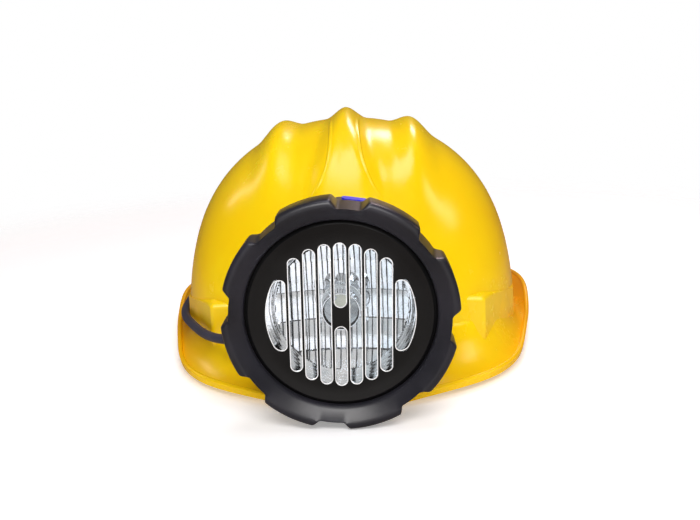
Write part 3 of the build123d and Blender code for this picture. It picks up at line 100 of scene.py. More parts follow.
class Finish:
    """A surface finish: one material whose nodes all come from the method node."""

    def __init__(self, name):
        self.material = bpy.data.materials.new(name)
        self.material.use_nodes = True
        self.tree = self.material.node_tree
        self.shader = self.tree.nodes["Principled BSDF"]

    def node(self, kind, settings, sockets, output=0):
        made = self.tree.nodes.new(kind)
        for setting, value in settings.items():
            setattr(made, setting, value)
        for socket, value in sockets.items():
            self.fill(made.inputs[socket], value)
        return Varied(self, made.outputs[output])

    def fill(self, socket, value):
        if isinstance(value, Varied):
            self.tree.links.new(value.socket, socket)
        else:
            socket.default_value = value

    def set(self, **values):
        """Fills the shader's sockets, each named with _ for a space."""
        for name, value in values.items():
            self.fill(self.shader.inputs[name.replace("_", " ")], value)

    def place(self, output="Object"):
        return self.node("ShaderNodeTexCoord", {}, {}, output)

    def across(self, axis, output="Object"):
        """One coordinate of a place on the piece: 0 for x, 1 for y, 2 for z."""
        return self.node("ShaderNodeSeparateXYZ", {}, {0: self.place(output)}, axis)

    def cloud(self, size, detail=4.0, roughness=0.5, stretch=(1, 1, 1)):
        """Soft noise whose lumps are about a size across, in metres."""
        spot = self.node("ShaderNodeMapping", {}, {0: self.place(), "Scale": stretch})
        sockets = {"Vector": spot, "Scale": 1 / size, "Detail": detail, "Roughness": roughness}
        return self.node("ShaderNodeTexNoise", {}, sockets)

    def cells(self, size):
        """Distance to the nearest of scattered points about a size apart."""
        return self.node("ShaderNodeTexVoronoi", {}, {"Vector": self.place(), "Scale": 1 / size})

    def blend(self, share, first, second):
        """Colour that goes from first to second as share goes from 0 to 1."""
        return self.node("ShaderNodeMix", {"data_type": "RGBA"}, {0: share, 6: first, 7: second}, 2)

    def relief(self, height, depth, strength=1.0):
        """Normal of a surface raised by height times depth metres."""
        return self.node("ShaderNodeBump", {}, {"Height": height, "Distance": depth, "Strength": strength})


def finished(piece, finish):
    """Gives a piece or CAD node its finish."""
    piece.data.materials.clear()
    piece.data.materials.append(finish.material)
    return piece


def made_from(mesh, name, finish, smooth_below=35):
    """Turns a bmesh into an object with a finish; edges sharper than the angle stay crisp."""
    bmesh.ops.recalc_face_normals(mesh, faces=mesh.faces)
    for face in mesh.faces:
        face.smooth = True
    for edge in mesh.edges:
        if len(edge.link_faces) == 2 and edge.calc_face_angle(0) > radians(smooth_below):
            edge.smooth = False
    data = bpy.data.meshes.new(name)
    mesh.to_mesh(data)
    mesh.free()
    piece = bpy.data.objects.new(name, data)
    bpy.context.scene.collection.objects.link(piece)
    return finished(piece, finish)


# The paper fades out where it meets the white wall. Gloss on the helmet mirrors it dimmed, as in a studio whose
# floor lies in shade; the chrome behind the lamp's glass still mirrors it bright.
sweep_half = 6.0
fade_from, fade_to = 0.32, 0.62
paper = Finish("white_paper")
from_middle = (paper.across(0) ** 2 + paper.across(1) ** 2) ** 0.5
through_lens = paper.node("ShaderNodeLightPath", {}, {}, "Is Transmission Ray")
mirrored = paper.node("ShaderNodeLightPath", {}, {}, "Is Glossy Ray") * (1 - through_lens)
fibres = paper.blend(paper.cloud(0.4).between(0.3, 0.7), srgb(252, 252, 252), srgb(250, 250, 251))
paper.set(
    Base_Color=paper.blend(mirrored, fibres, srgb(123, 114, 106)),
    Roughness=0.7,
    Emission_Color=paper.blend(mirrored, srgb(255, 255, 255), srgb(85, 78, 71)),
    Emission_Strength=0.3,
    Alpha=1 - from_middle.between(fade_from, fade_to),
)
sweep = bmesh.new()
bmesh.ops.create_grid(sweep, x_segments=1, y_segments=1, size=sweep_half)
floor = made_from(sweep, "floor", paper)

# The room: white where the camera sees it, and for the helmet a dim warm room with a brighter wall in front.
dim_room, bright_wall = 0.06, 0.75
wall_from, wall_full = -0.5, -0.95
sky = bpy.data.worlds.new("studio")
sky.use_nodes = True
bpy.context.scene.world = sky
air = sky.node_tree
white = air.nodes["Background"]
white.inputs["Color"].default_value = (1, 1, 1, 1)
room = air.nodes.new("ShaderNodeBackground")
room.inputs["Color"].default_value = (1.0, 0.94, 0.9, 1)
towards = air.nodes.new("ShaderNodeTexCoord")
parts = air.nodes.new("ShaderNodeSeparateXYZ")
wall = air.nodes.new("ShaderNodeMapRange")
wall.interpolation_type = "SMOOTHSTEP"
wall.inputs["From Min"].default_value = wall_from
wall.inputs["From Max"].default_value = wall_full
wall.inputs["To Min"].default_value = dim_room
wall.inputs["To Max"].default_value = bright_wall
air.links.new(towards.outputs["Generated"], parts.inputs[0])
air.links.new(parts.outputs["Y"], wall.inputs["Value"])
air.links.new(wall.outputs[0], room.inputs["Strength"])
ray = air.nodes.new("ShaderNodeLightPath")
choice = air.nodes.new("ShaderNodeMixShader")
air.links.new(ray.outputs["Is Camera Ray"], choice.inputs[0])
air.links.new(room.outputs[0], choice.inputs[1])
air.links.new(white.outputs[0], choice.inputs[2])
air.links.new(choice.outputs[0], air.nodes["World Output"].inputs["Surface"])

helmet_middle = Vector((0, 0, 0.07))


def softbox(name, place, width, height, power, colour):
    """Rectangular soft lamp at a place, turned to the helmet's middle."""
    data = bpy.data.lights.new(name, "AREA")
    data.shape = "RECTANGLE"
    data.size, data.size_y = width, height
    data.energy = power
    data.color = colour
    lamp = bpy.data.objects.new(name, data)
    lamp.location = place
    lamp.rotation_euler = (helmet_middle - Vector(place)).to_track_quat("-Z", "Y").to_euler()
    bpy.context.scene.collection.objects.link(lamp)


softbox("key", (0.05, -0.9, 0.95), 0.9, 0.42, 10.5, (1, 0.98, 0.97))
softbox("top", (0.05, -0.05, 1.1), 0.6, 0.45, 3.6, (0.92, 0.91, 1))
softbox("side_right", (0.95, 0.0, 0.72), 0.2, 0.3, 1.3, (1, 0.68, 0.5))
softbox("side_left", (-0.95, 0.5, 0.7), 0.08, 0.36, 0.8, (1, 0.7, 0.52))
softbox("back", (0.3, 0.95, 0.95), 0.34, 0.3, 3.8, (1, 0.77, 0.78))

# The camera, fitted to the photograph: its turn, its place, and its focal length in pixels of the frame's width.
yaw, pitch, roll = radians(-2.27), radians(14.62), radians(-2.31)
camera_spot = Vector((18.9, -487.4, 170.0)) * mm
focal_pixels, frame_pixels = 793, 700
film_wide = 36
ahead = Vector((sin(yaw) * cos(pitch), cos(yaw) * cos(pitch), -sin(pitch)))
level = Vector((cos(yaw), -sin(yaw), 0))
upright = level.cross(ahead)
right = cos(roll) * level + sin(roll) * upright
up = -sin(roll) * level + cos(roll) * upright
camera = bpy.data.objects.new("camera", bpy.data.cameras.new("camera"))
camera.data.sensor_width = film_wide
camera.data.sensor_fit = "HORIZONTAL"
camera.data.lens = film_wide * focal_pixels / frame_pixels
camera.matrix_world = Matrix((right, up, -ahead)).transposed().to_4x4()
camera.matrix_world.translation = camera_spot
bpy.context.scene.collection.objects.link(camera)
bpy.context.scene.camera = camera
bpy.context.scene.view_settings.view_transform = "Standard"

# Shell: one injection-moulded shell of yellow ABS with three ridges, a peak and a rain gutter.
# The mould left a faint orange peel and handling has scuffed it; the deeper amber at the sides and low down is
# painted shade.
yellow = Finish("yellow_abs")
swirl = yellow.cloud(0.06, 3.0).between(0.35, 0.7)
peel = yellow.cloud(0.0035, 3.0)
scuffs = yellow.cloud(0.0025, 6.0, 0.7, (1, 6, 1)).between(0.66, 0.74)
dust = yellow.cloud(0.012, 6.0, 0.65).between(0.52, 0.8)
# Painted shade: the amber deepens towards the left and right sides and low down at the brim and gutter.
sides = abs(yellow.across(0)).between(0.07, 0.112)
painted_low_shade = 1 - yellow.across(2).between(-0.005, 0.03)
body_colour = yellow.blend(swirl, srgb(252, 208, 5), srgb(255, 217, 9))
painted_shade_colour = yellow.blend(sides * 0.75 + painted_low_shade * 0.2, body_colour, srgb(236, 167, 4))
worn_colour = yellow.blend(scuffs * 0.25, painted_shade_colour, srgb(255, 236, 140))
yellow.set(
    Base_Color=worn_colour,
    Roughness=0.22 + swirl * 0.05 + dust * 0.05 + scuffs * 0.08,
    Normal=yellow.relief(peel + scuffs * -0.4, 0.00005, 0.5),
    Specular_IOR_Level=0.5,
    Subsurface_Weight=0.12,
    Subsurface_Radius=(1.0, 0.45, 0.1),
    Subsurface_Scale=0.003,
)
finished(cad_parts["shell"], yellow)

# Creases of the centre panel: the mould's two soft welts, which run down from the crown and part over the lamp.
# They are one with the shell, so their edges sink into it.
crease_runs = {
    "crease_left": (
        (-8.5, 2), (-8, -12), (-7.5, -27), (-7.1, -40), (-7.2, -54), (-8.2, -63), (-11, -69.5), (-14.8, -73),
        (-19.5, -75.5),
    ),
    "crease_right": (
        (8.5, 2), (8, -12), (8, -27), (8.8, -42), (9.9, -54), (11.8, -62), (14.8, -68), (18.2, -71.5), (23.5, -74),
    ),
}
crease_half = 1.5 * mm
crease_rise = 0.55 * mm
crease_sink = 0.1 * mm
crease_rows = 8
fade_steps = 12
above_shell = Vector((0, 0, 0.2))
straight_down = Vector((0, 0, -1))


def crease(name, run):
    """Low rounded welt along a run of plan points, laid on the shell's outer face."""
    guide = bpy.data.curves.new(name, "CURVE")
    guide.dimensions = "3D"
    line = guide.splines.new("NURBS")
    line.points.add(len(run) - 1)
    for point, (x, y) in zip(line.points, run):
        point.co = (x * mm, y * mm, 0, 1)
    line.order_u = 4
    line.use_endpoint_u = True
    guide.resolution_u = 10
    holder = bpy.data.objects.new(name, guide)
    path = bpy.data.meshes.new_from_object(holder)
    route = [vert.co.copy() for vert in path.vertices]
    bpy.data.objects.remove(holder)
    bpy.data.curves.remove(guide)
    bpy.data.meshes.remove(path)
    last = len(route) - 1
    mesh = bmesh.new()
    bmesh.ops.create_grid(mesh, x_segments=last, y_segments=crease_rows, size=1.0)
    for vert in mesh.verts:
        step = round((vert.co.x + 1) / 2 * last)
        across = vert.co.y
        before, after = route[max(step - 1, 0)], route[min(step + 1, last)]
        aside = (after - before).cross(Vector((0, 0, 1))).normalized()
        spot = route[step] + aside * across * crease_half
        _, place, normal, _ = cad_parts["shell"].ray_cast(spot + above_shell, straight_down)
        fade = min(1, step / fade_steps, (last - step) / fade_steps)
        swell = (cos(pi * across) + 1) / 2
        vert.co = place + normal * ((crease_rise + crease_sink) * swell * fade - crease_sink)
    piece = made_from(mesh, name, yellow, 80)
    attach(piece, "helmet")


for name, run in crease_runs.items():
    crease(name, run)


# Headband, keys and ratchet: dark polyethylene mouldings, matt with a fine spark-eroded grain. The band hangs in
# the shell from its four keys, and the ratchet at the nape draws it in.
def moulded(name, colour, shade, roughness, grain=0.0007, depth=0.00004, **constants):
    """Moulded plastic or rubber: slow colour drift, fine grain, and a few rubbed spots."""
    finish = Finish(name)
    drift = finish.cloud(0.03, 3.0).between(0.35, 0.7)
    pits = finish.cells(grain)
    rubbed = finish.cloud(0.006, 6.0, 0.7).between(0.6, 0.75)
    finish.set(
        Base_Color=finish.blend(drift * 0.7 + rubbed * 0.3, srgb(*colour), srgb(*shade)),
        Roughness=roughness + drift * 0.05 - rubbed * 0.06,
        Normal=finish.relief(pits, depth, 0.6),
        **constants,
    )
    return finish


band_plastic = moulded("band_polyethylene", (54, 56, 60), (66, 68, 72), 0.48)
for node in (
    "headband", "key_front_left", "key_front_right", "key_rear_left", "key_rear_right",
    "strap_left", "strap_right", "ratchet_base", "ratchet_cover", "knob", "pinion",
):
    finished(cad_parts[node], band_plastic)

# Sweatband and nape cushion: foam in knitted towelling, folded over and sewn along both edges, round the front
# and the back of the headband. The knit has small loops, and punched holes let the air through.
towelling = Finish("towelling")
loops = towelling.cells(0.0011)
fleck = towelling.cloud(0.004, 5.0).between(0.3, 0.7)
punched_holes_and_shade = towelling.cells(0.0065).between(0.1, 0.16)
knit_colour = towelling.blend(fleck, srgb(44, 45, 50), srgb(64, 65, 70))
towelling.set(
    # The punched holes are coloured near black: painted shade inside them.
    Base_Color=towelling.blend(punched_holes_and_shade, srgb(12, 12, 14), knit_colour),
    Roughness=0.95,
    Normal=towelling.relief(loops * -1 + punched_holes_and_shade * 2, 0.0004),
    Sheen_Weight=0.4,
)
pad_thick = 3 * mm
pad_rows = 28
pad_steps = 120
pad_corner_power = 0.45
pad_edge_share = 0.25
seam_at, seam_wide, seam_pinch = 0.8, 0.09, 0.55
pad_end_from, pad_end_thin, pad_end_narrow = 0.96, 0.6, 0.06


def arc_pad(name, node, centre_y, radius, low, high, half_angle, facing):
    """Cushion bent round an upright axis: crowned inner face, pinched seams and drawn-in ends."""
    middle = (low + high) / 2
    half = (high - low) / 2
    mid_radius = radius - pad_thick / 2
    mesh = bmesh.new()
    bmesh.ops.create_circle(mesh, segments=pad_rows * 2, radius=1.0)
    for vert in mesh.verts:
        across, through = vert.co.x, vert.co.y
        square = max(abs(across), 1e-9) ** pad_corner_power * (1 if across > 0 else -1)
        bulge = (1 - square**4) ** 0.5 if abs(square) < 1 else 0
        seam = 1 - seam_pinch * max(0, 1 - abs(abs(square) - seam_at) / seam_wide)
        depth = pad_thick / 2 * max(bulge, pad_edge_share) * (1 if through > 0 else -seam)
        vert.co = Vector((0, facing * (mid_radius + depth), middle + half * square))
    bmesh.ops.spin(mesh, geom=mesh.verts[:] + mesh.edges[:], cent=(0, 0, 0), axis=(0, 0, 1), angle=2 * half_angle,
                   steps=pad_steps, dvec=(0, 0, 0))
    bmesh.ops.rotate(mesh, verts=mesh.verts, cent=(0, 0, 0), matrix=Matrix.Rotation(-half_angle, 3, "Z"))
    bmesh.ops.holes_fill(mesh, edges=[edge for edge in mesh.edges if edge.is_boundary], sides=0)
    for vert in mesh.verts:
        flat = Vector((vert.co.x, vert.co.y, 0))
        angle = abs(flat.angle(Vector((0, facing, 0)))) / half_angle
        pull = max(0, (angle - pad_end_from) / (1 - pad_end_from)) ** 2
        reach = mid_radius + (flat.length - mid_radius) * (1 - pad_end_thin * pull)
        rise = middle + (vert.co.z - middle) * (1 - pad_end_narrow * pull)
        vert.co = flat.normalized() * reach + Vector((0, 0, rise))
    bmesh.ops.translate(mesh, verts=mesh.verts, vec=(0, centre_y, 0))
    pad = made_from(mesh, name, towelling, 80)
    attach(pad, "helmet")
    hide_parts(node)


arc_pad("sweatband_pad", "sweatband", centre_y=-10 * mm, radius=76.95 * mm, low=10 * mm, high=46 * mm,
        half_angle=radians(74.6), facing=-1)
arc_pad("nape_cushion", "nape_pad", centre_y=22 * mm, radius=76 * mm, low=9 * mm, high=41 * mm,
        half_angle=radians(24), facing=1)

# Crown straps: two flat bands of woven polyester webbing that cross over the head, one over the other. Each end
# runs straight down into a key.
webbing = Finish("polyester_webbing")
weave_pitch = 1.6 * mm
along = webbing.across(1, "UV")
sideways = webbing.across(0, "UV")
zigzag = (sideways * (pi / weave_pitch)).sine() * 1.2
twill = ((along * (2 * pi / weave_pitch) + zigzag).sine() + 1) * 0.5
cords = ((sideways * (2 * pi / weave_pitch)).sine() + 1) * 0.5
fray = webbing.cloud(0.0012, 5.0, 0.6)
webbing.set(
    Base_Color=webbing.blend(twill * 0.6 + fray * 0.4, srgb(58, 60, 66), srgb(112, 114, 120)),
    Roughness=0.85,
    Normal=webbing.relief(twill + cords * 0.5 + fray * 0.4, 0.0003),
    Sheen_Weight=0.25,
)
harness_middle = Vector((0, 6 * mm, 0))
strap_reach = 88.34 * mm
strap_spring = 57 * mm
strap_low = 47 * mm
strap_half = 9.5 * mm
strap_thick = 1.3 * mm
half_strands = 6
bend_steps = 96
edge_from, edge_sink = 0.85, 0.2 * mm


def crown_band(name, node, turned, rise):
    """Flat webbing bent over in a half oval, with straight ends down to the keys."""
    mesh = bmesh.new()
    uv = mesh.loops.layers.uv.new("weave")
    strands = [strap_half * (index / half_strands - 1) for index in range(half_strands * 2 + 1)]
    row = [mesh.verts.new((1, strand, 0)) for strand in strands]
    edges = [mesh.edges.new(pair) for pair in zip(row, row[1:])]
    bmesh.ops.spin(mesh, geom=row + edges, cent=(0, 0, 0), axis=(0, -1, 0), angle=pi, steps=bend_steps,
                   dvec=(0, 0, 0))
    for vert in mesh.verts:
        vert.co.x *= strap_reach
        vert.co.z *= rise
    ends = [edge for edge in mesh.edges if edge.is_boundary and all(abs(v.co.z) < 1e-6 for v in edge.verts)]
    dropped = bmesh.ops.extrude_edge_only(mesh, edges=ends)
    low_verts = [item for item in dropped["geom"] if isinstance(item, bmesh.types.BMVert)]
    bmesh.ops.translate(mesh, verts=low_verts, vec=(0, 0, strap_low - strap_spring))
    for face in mesh.faces:
        for loop in face.loops:
            spot = loop.vert.co
            turn = Vector((spot.x / strap_reach, 0, max(spot.z, 0) / rise)).angle(Vector((1, 0, 0)))
            length = turn * (strap_reach + rise) / 2 + min(spot.z, 0) * (1 if spot.x > 0 else -1)
            loop[uv].uv = (spot.y, length)
    bmesh.ops.recalc_face_normals(mesh, faces=mesh.faces)
    top = max(mesh.faces, key=lambda face: face.calc_center_median().z)
    if top.normal.z < 0:
        bmesh.ops.reverse_faces(mesh, faces=mesh.faces)
    bmesh.ops.solidify(mesh, geom=mesh.faces[:], thickness=strap_thick)
    for vert in mesh.verts:
        flat = Vector((vert.co.x, 0, max(vert.co.z, 0)))
        edge = max(0, abs(vert.co.y) / strap_half - edge_from) / (1 - edge_from)
        vert.co += flat.normalized() * (-edge_sink * edge)
    shift = Matrix.Translation(harness_middle + Vector((0, 0, strap_spring)))
    bmesh.ops.transform(mesh, matrix=shift @ Matrix.Rotation(turned, 4, "Z"), verts=mesh.verts)
    band = made_from(mesh, name, webbing, 60)
    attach(band, "helmet")
    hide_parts(node)


crown_band("crown_webbing_upper", "crown_strap_upper", turned=radians(43), rise=47 * mm)
crown_band("crown_webbing_lower", "crown_strap_lower", turned=radians(-43), rise=45.1 * mm)

# Metal fixings: plated steel screws, rivets and hinge pin, and the spring steel of the detent leaf, the pin's clip
# and the button's spring. All are bright with fine turning marks and a little tarnish.
steel = Finish("plated_steel")
marks = steel.cloud(0.0006, 4.0, 0.6, (1, 8, 1))
tarnish = steel.cloud(0.008, 5.0).between(0.4, 0.8)
steel.set(
    Base_Color=steel.blend(tarnish, srgb(196, 198, 202), srgb(160, 160, 165)),
    Metallic=1.0,
    Roughness=0.24 + tarnish * 0.12 + marks * 0.08,
    Normal=steel.relief(marks, 0.00002),
)
for node in (
    "ratchet_screws", "detent_spring", "bracket_rivets", "hinge_pin", "pin_clip", "battery_rivets", "cover_screws",
    "button_spring",
):
    finished(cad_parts[node], steel)

# Lamp bracket and cable clips: injection-moulded glass-filled nylon, black and a little rough. The bracket is
# riveted to the dome, and the clips grip the gutter.
nylon = moulded("black_nylon", (30, 31, 34), (40, 41, 45), 0.5, 0.0009, 0.00006)
for node in ("lamp_bracket", "cable_clip_side", "cable_clip_rear"):
    finished(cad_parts[node], nylon)

# Lamp housing: charcoal ABS tub behind the ring, moulded in one with the lugs of the tilt hinge and the boss that
# the cable leaves through.
lamp_plastic = moulded("lamp_abs", (38, 39, 44), (48, 49, 55), 0.42, 0.0006, 0.00003)
finished(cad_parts["lamp_housing"], lamp_plastic)

# Reflector: moulded bowl with vacuum-deposited aluminium. It is broken up into upright columns of crowned facets,
# so that the beam is even, with fine steps round its rim: the patchwork seen through the slots.
chrome = Finish("vacuum_chrome")
haze = chrome.cloud(0.005, 4.0).between(0.45, 0.8)
chrome.set(
    Base_Color=chrome.blend(haze, srgb(238, 240, 243), srgb(220, 222, 226)),
    Metallic=1.0,
    Roughness=0.05 + haze * 0.08,
    Normal=chrome.relief(chrome.cloud(0.002, 2.0), 0.00002),
)
# The lamp's parts are round. This is the height of their axis, and their depths count from the lamp's front rim.
lamp_axis_z = 54.8 * mm
lamp_front_y = -151.5 * mm
bowl_low, bowl_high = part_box("reflector")
rim_gap, rim_lip = 0.2 * mm, 1.2 * mm
bowl_rim = (bowl_high.x - bowl_low.x) / 2 - rim_gap
bowl_neck = 9.9 * mm
bowl_front, bowl_back = bowl_low.y + rim_lip, bowl_high.y
bowl_cells = 190
bowl_margin = 0.5 * mm
facet_wide, facet_high = 6.97 * mm, 14.6 * mm
facet_crown_x, facet_crown_z = 0.42 * mm, 0.6 * mm
facet_lean = 0.7
rim_steps_from = 31.2 * mm
rim_step, rim_step_high = 1.25 * mm, 0.12 * mm


def bowl_depth(x, z):
    """Depth of the smooth bowl at a spot of its opening."""
    return (bowl_back - bowl_front) * (bowl_rim**2 - x * x - z * z) / (bowl_rim**2 - bowl_neck**2)


bowl = bmesh.new()
bmesh.ops.create_grid(bowl, x_segments=bowl_cells, y_segments=bowl_cells, size=bowl_rim + bowl_margin)
beyond = [face for face in bowl.faces if not bowl_neck <= face.calc_center_median().length <= bowl_rim]
bmesh.ops.delete(bowl, geom=beyond, context="FACES")
for vert in bowl.verts:
    x, z = vert.co.x, vert.co.y
    middle_x, middle_z = round(x / facet_wide) * facet_wide, round(z / facet_high) * facet_high
    aside, along_it = (x - middle_x) / (facet_wide / 2), (z - middle_z) / (facet_high / 2)
    leaned = bowl_depth(middle_x + (x - middle_x) * facet_lean, middle_z + (z - middle_z) * facet_lean)
    depth = leaned - facet_crown_x * (1 - aside**2) - facet_crown_z * (1 - along_it**2)
    stepped = (sqrt(x * x + z * z) - rim_steps_from) / rim_step
    if stepped > 0:
        depth = bowl_depth(x, z) - rim_step_high * (1 - abs(2 * (stepped % 1) - 1))
    depth = min(max(depth, 0), bowl_back - bowl_front)
    vert.co = Vector((x, bowl_front + depth, z))
bmesh.ops.translate(bowl, verts=bowl.verts, vec=(0, 0, lamp_axis_z))
reflector_bowl = made_from(bowl, "reflector_bowl", chrome, 20)
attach(reflector_bowl, "lamp")
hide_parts("reflector")

# Light source: a white ceramic chip on a round white board, with a milled aluminium spreader and the driver ring
# behind. The battery's protection board has the same white solder mask over its tracks.
board = Finish("solder_mask_painted_glow")
track_pitch_x, track_pitch_z = 4 * mm, 5 * mm
across_tracks = (board.across(0) * (2 * pi / track_pitch_x)).sine()
along_tracks = (board.across(2) * (2 * pi / track_pitch_z)).sine()
tracks = (across_tracks * along_tracks).between(0.2, 0.3)
board.set(
    Base_Color=board.blend(tracks * 0.5, srgb(226, 228, 230), srgb(196, 198, 202)),
    Roughness=0.4,
    Coat_Weight=0.4,
    # The boards' faint glow is painted light: they glow though they are no lamp.
    Emission_Color=srgb(255, 255, 255),
    Emission_Strength=0.25,
    Normal=board.relief(tracks, 0.00005),
)
for node in ("led_board", "driver_board", "protection_board"):
    finished(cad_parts[node], board)
phosphor_painted_glow = Finish("phosphor_painted_glow")
speckle = phosphor_painted_glow.cloud(0.001, 3.0)
phosphor_painted_glow.set(
    Base_Color=phosphor_painted_glow.blend(speckle, srgb(222, 214, 182), srgb(236, 229, 200)),
    Roughness=0.35,
    # The chip's faint glow is painted light.
    Emission_Color=srgb(250, 250, 242),
    Emission_Strength=0.35,
    Normal=phosphor_painted_glow.relief(speckle, 0.00005),
)
finished(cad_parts["led_emitter"], phosphor_painted_glow)
spreader = Finish("milled_aluminium")
mill_pitch = 0.8 * mm
milling = (spreader.across(0) * (2 * pi / mill_pitch)).sine()
spreader.set(
    Base_Color=spreader.blend(milling.between(-1, 1) * 0.3, srgb(190, 192, 195), srgb(160, 163, 168)),
    Metallic=1.0,
    Roughness=0.35 + milling * 0.04,
    Normal=spreader.relief(milling, 0.00002),
)
finished(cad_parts["heat_sink"], spreader)

# Lens: a disc of clear polycarbonate with faint flow marks, whose raised bars stand up into the face's slots.
# The slots lean a little clockwise, so the lens and the face are both turned by that much about the lamp's axis.
glass = Finish("clear_polycarbonate")
flow = glass.cloud(0.01, 3.0).between(0.3, 0.8)
glass.set(
    Base_Color=glass.blend(flow, srgb(252, 254, 255), srgb(244, 249, 252)),
    Roughness=0.01 + flow * 0.02,
    Transmission_Weight=1.0,
    IOR=1.3,
    Normal=glass.relief(glass.cloud(0.003, 2.0), 0.00003, 0.4),
)
face_roll = radians(1.4)
# The bars' fronts are made level here: on the CAD lens they lie up to the skew in front of or behind it.
bar_front = lamp_front_y + 8.3 * mm
bar_skew = 0.9 * mm


def rolled_copy(name, node, finish, level_front=None):
    """Copy of a round lamp node, turned by the face's lean; level_front evens out the fronts of raised bars."""
    mesh = bmesh.new()
    mesh.from_mesh(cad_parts[node].data)
    bmesh.ops.remove_doubles(mesh, verts=mesh.verts, dist=1e-6)
    if level_front is not None:
        for vert in mesh.verts:
            if vert.co.y < level_front + bar_skew:
                vert.co.y = level_front
    bmesh.ops.rotate(mesh, verts=mesh.verts, cent=(0, 0, lamp_axis_z), matrix=Matrix.Rotation(face_roll, 3, "Y"))
    piece = made_from(mesh, name, finish, 30)
    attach(piece, "lamp")
    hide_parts(node)


rolled_copy("clear_lens", "lens", glass, bar_front)

# Centre lens: moulded silicone optic, a little milky. A bright pressed collar stands on its shoulder and holds
# a small clear front lens close behind the slots.
optic = Finish("milky_optic_painted_glow")
milk = optic.cloud(0.004, 3.0).between(0.3, 0.8)
optic.set(
    Base_Color=optic.blend(milk, srgb(236, 239, 242), srgb(206, 210, 214)),
    Roughness=0.12 + milk * 0.06,
    Transmission_Weight=0.85,
    # The optic's faint glow is painted light.
    Emission_Color=srgb(240, 244, 248),
    Emission_Strength=0.08,
    Normal=optic.relief(optic.cloud(0.003, 2.0), 0.00003, 0.4),
)
finished(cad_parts["centre_lens"], optic)
optic_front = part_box("centre_lens")[0].y
optic_steps = 120
# Corners of both outlines: radius, and depth from the centre lens's front, in millimetres.
collar_outline = (
    (8.35, -6.9), (8.35, -7.35), (8.5, -7.5), (8.8, -7.5), (8.95, -7.35), (8.95, 1.0), (8.35, 0.7), (8.35, -4.6),
    (7.7, -4.9), (7.7, -5.1), (8.35, -5.4),
)
front_lens_outline = (
    (0, -6.9), (3.0, -6.85), (6.0, -6.65), (7.6, -6.4), (8.3, -6.2), (8.3, -5.5), (7.4, -4.9), (6.0, -4.1),
    (4.5, -3.5), (3.0, -3.1), (1.5, -2.9), (0, -2.82),
)
for name, outline, finish, slot in (
    ("lens_collar", collar_outline, chrome, "chrome"),
    ("front_lens", front_lens_outline, glass, "clear"),
):
    mesh = bmesh.new()
    line = [mesh.verts.new((radius * mm, optic_front + depth * mm, 0)) for radius, depth in outline]
    spokes = [mesh.edges.new(pair) for pair in zip(line, line[1:])]
    if outline is collar_outline:
        spokes.append(mesh.edges.new((line[-1], line[0])))
    bmesh.ops.spin(mesh, geom=line + spokes, cent=(0, 0, 0), axis=(0, 1, 0), angle=2 * pi, steps=optic_steps,
                   dvec=(0, 0, 0), use_merge=True)
    bmesh.ops.remove_doubles(mesh, verts=mesh.verts, dist=1e-6)
    bmesh.ops.translate(mesh, verts=mesh.verts, vec=(0, 0, lamp_axis_z))
    part = made_from(mesh, name, finish, 40)
    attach(part, "lamp")

# Slot edges: the lens's raised bars have polished rims, drawn here as fine white strips that glow a little in each
# slot:
# a painted highlight for the light these rims catch.
edge_painted_highlight = Finish("lens_edge_painted_highlight")
edge_painted_highlight.set(
    Base_Color=edge_painted_highlight.blend(edge_painted_highlight.cloud(0.002, 3.0), srgb(236, 238, 240), srgb(255, 255, 255)),
    Roughness=0.18 + edge_painted_highlight.cloud(0.004) * 0.1,
    Emission_Color=srgb(255, 255, 255),
    Emission_Strength=0.08,
)
slot_pitch = 6.97 * mm
slot_half = 6.25 / 2 * mm
field_radius = 34.6 * mm
field_drop = 0.8 * mm
end_outer = 34.8 * mm
end_half_height = 17.3 * mm
end_round = 2.6 * mm
side_slots = 3
end_inner = slot_pitch * (side_slots + 0.5) + (slot_pitch - slot_half * 2) / 2
end_round_reach = 3.4 * mm
bridge_low, bridge_high = -5.7 * mm, 2.9 * mm


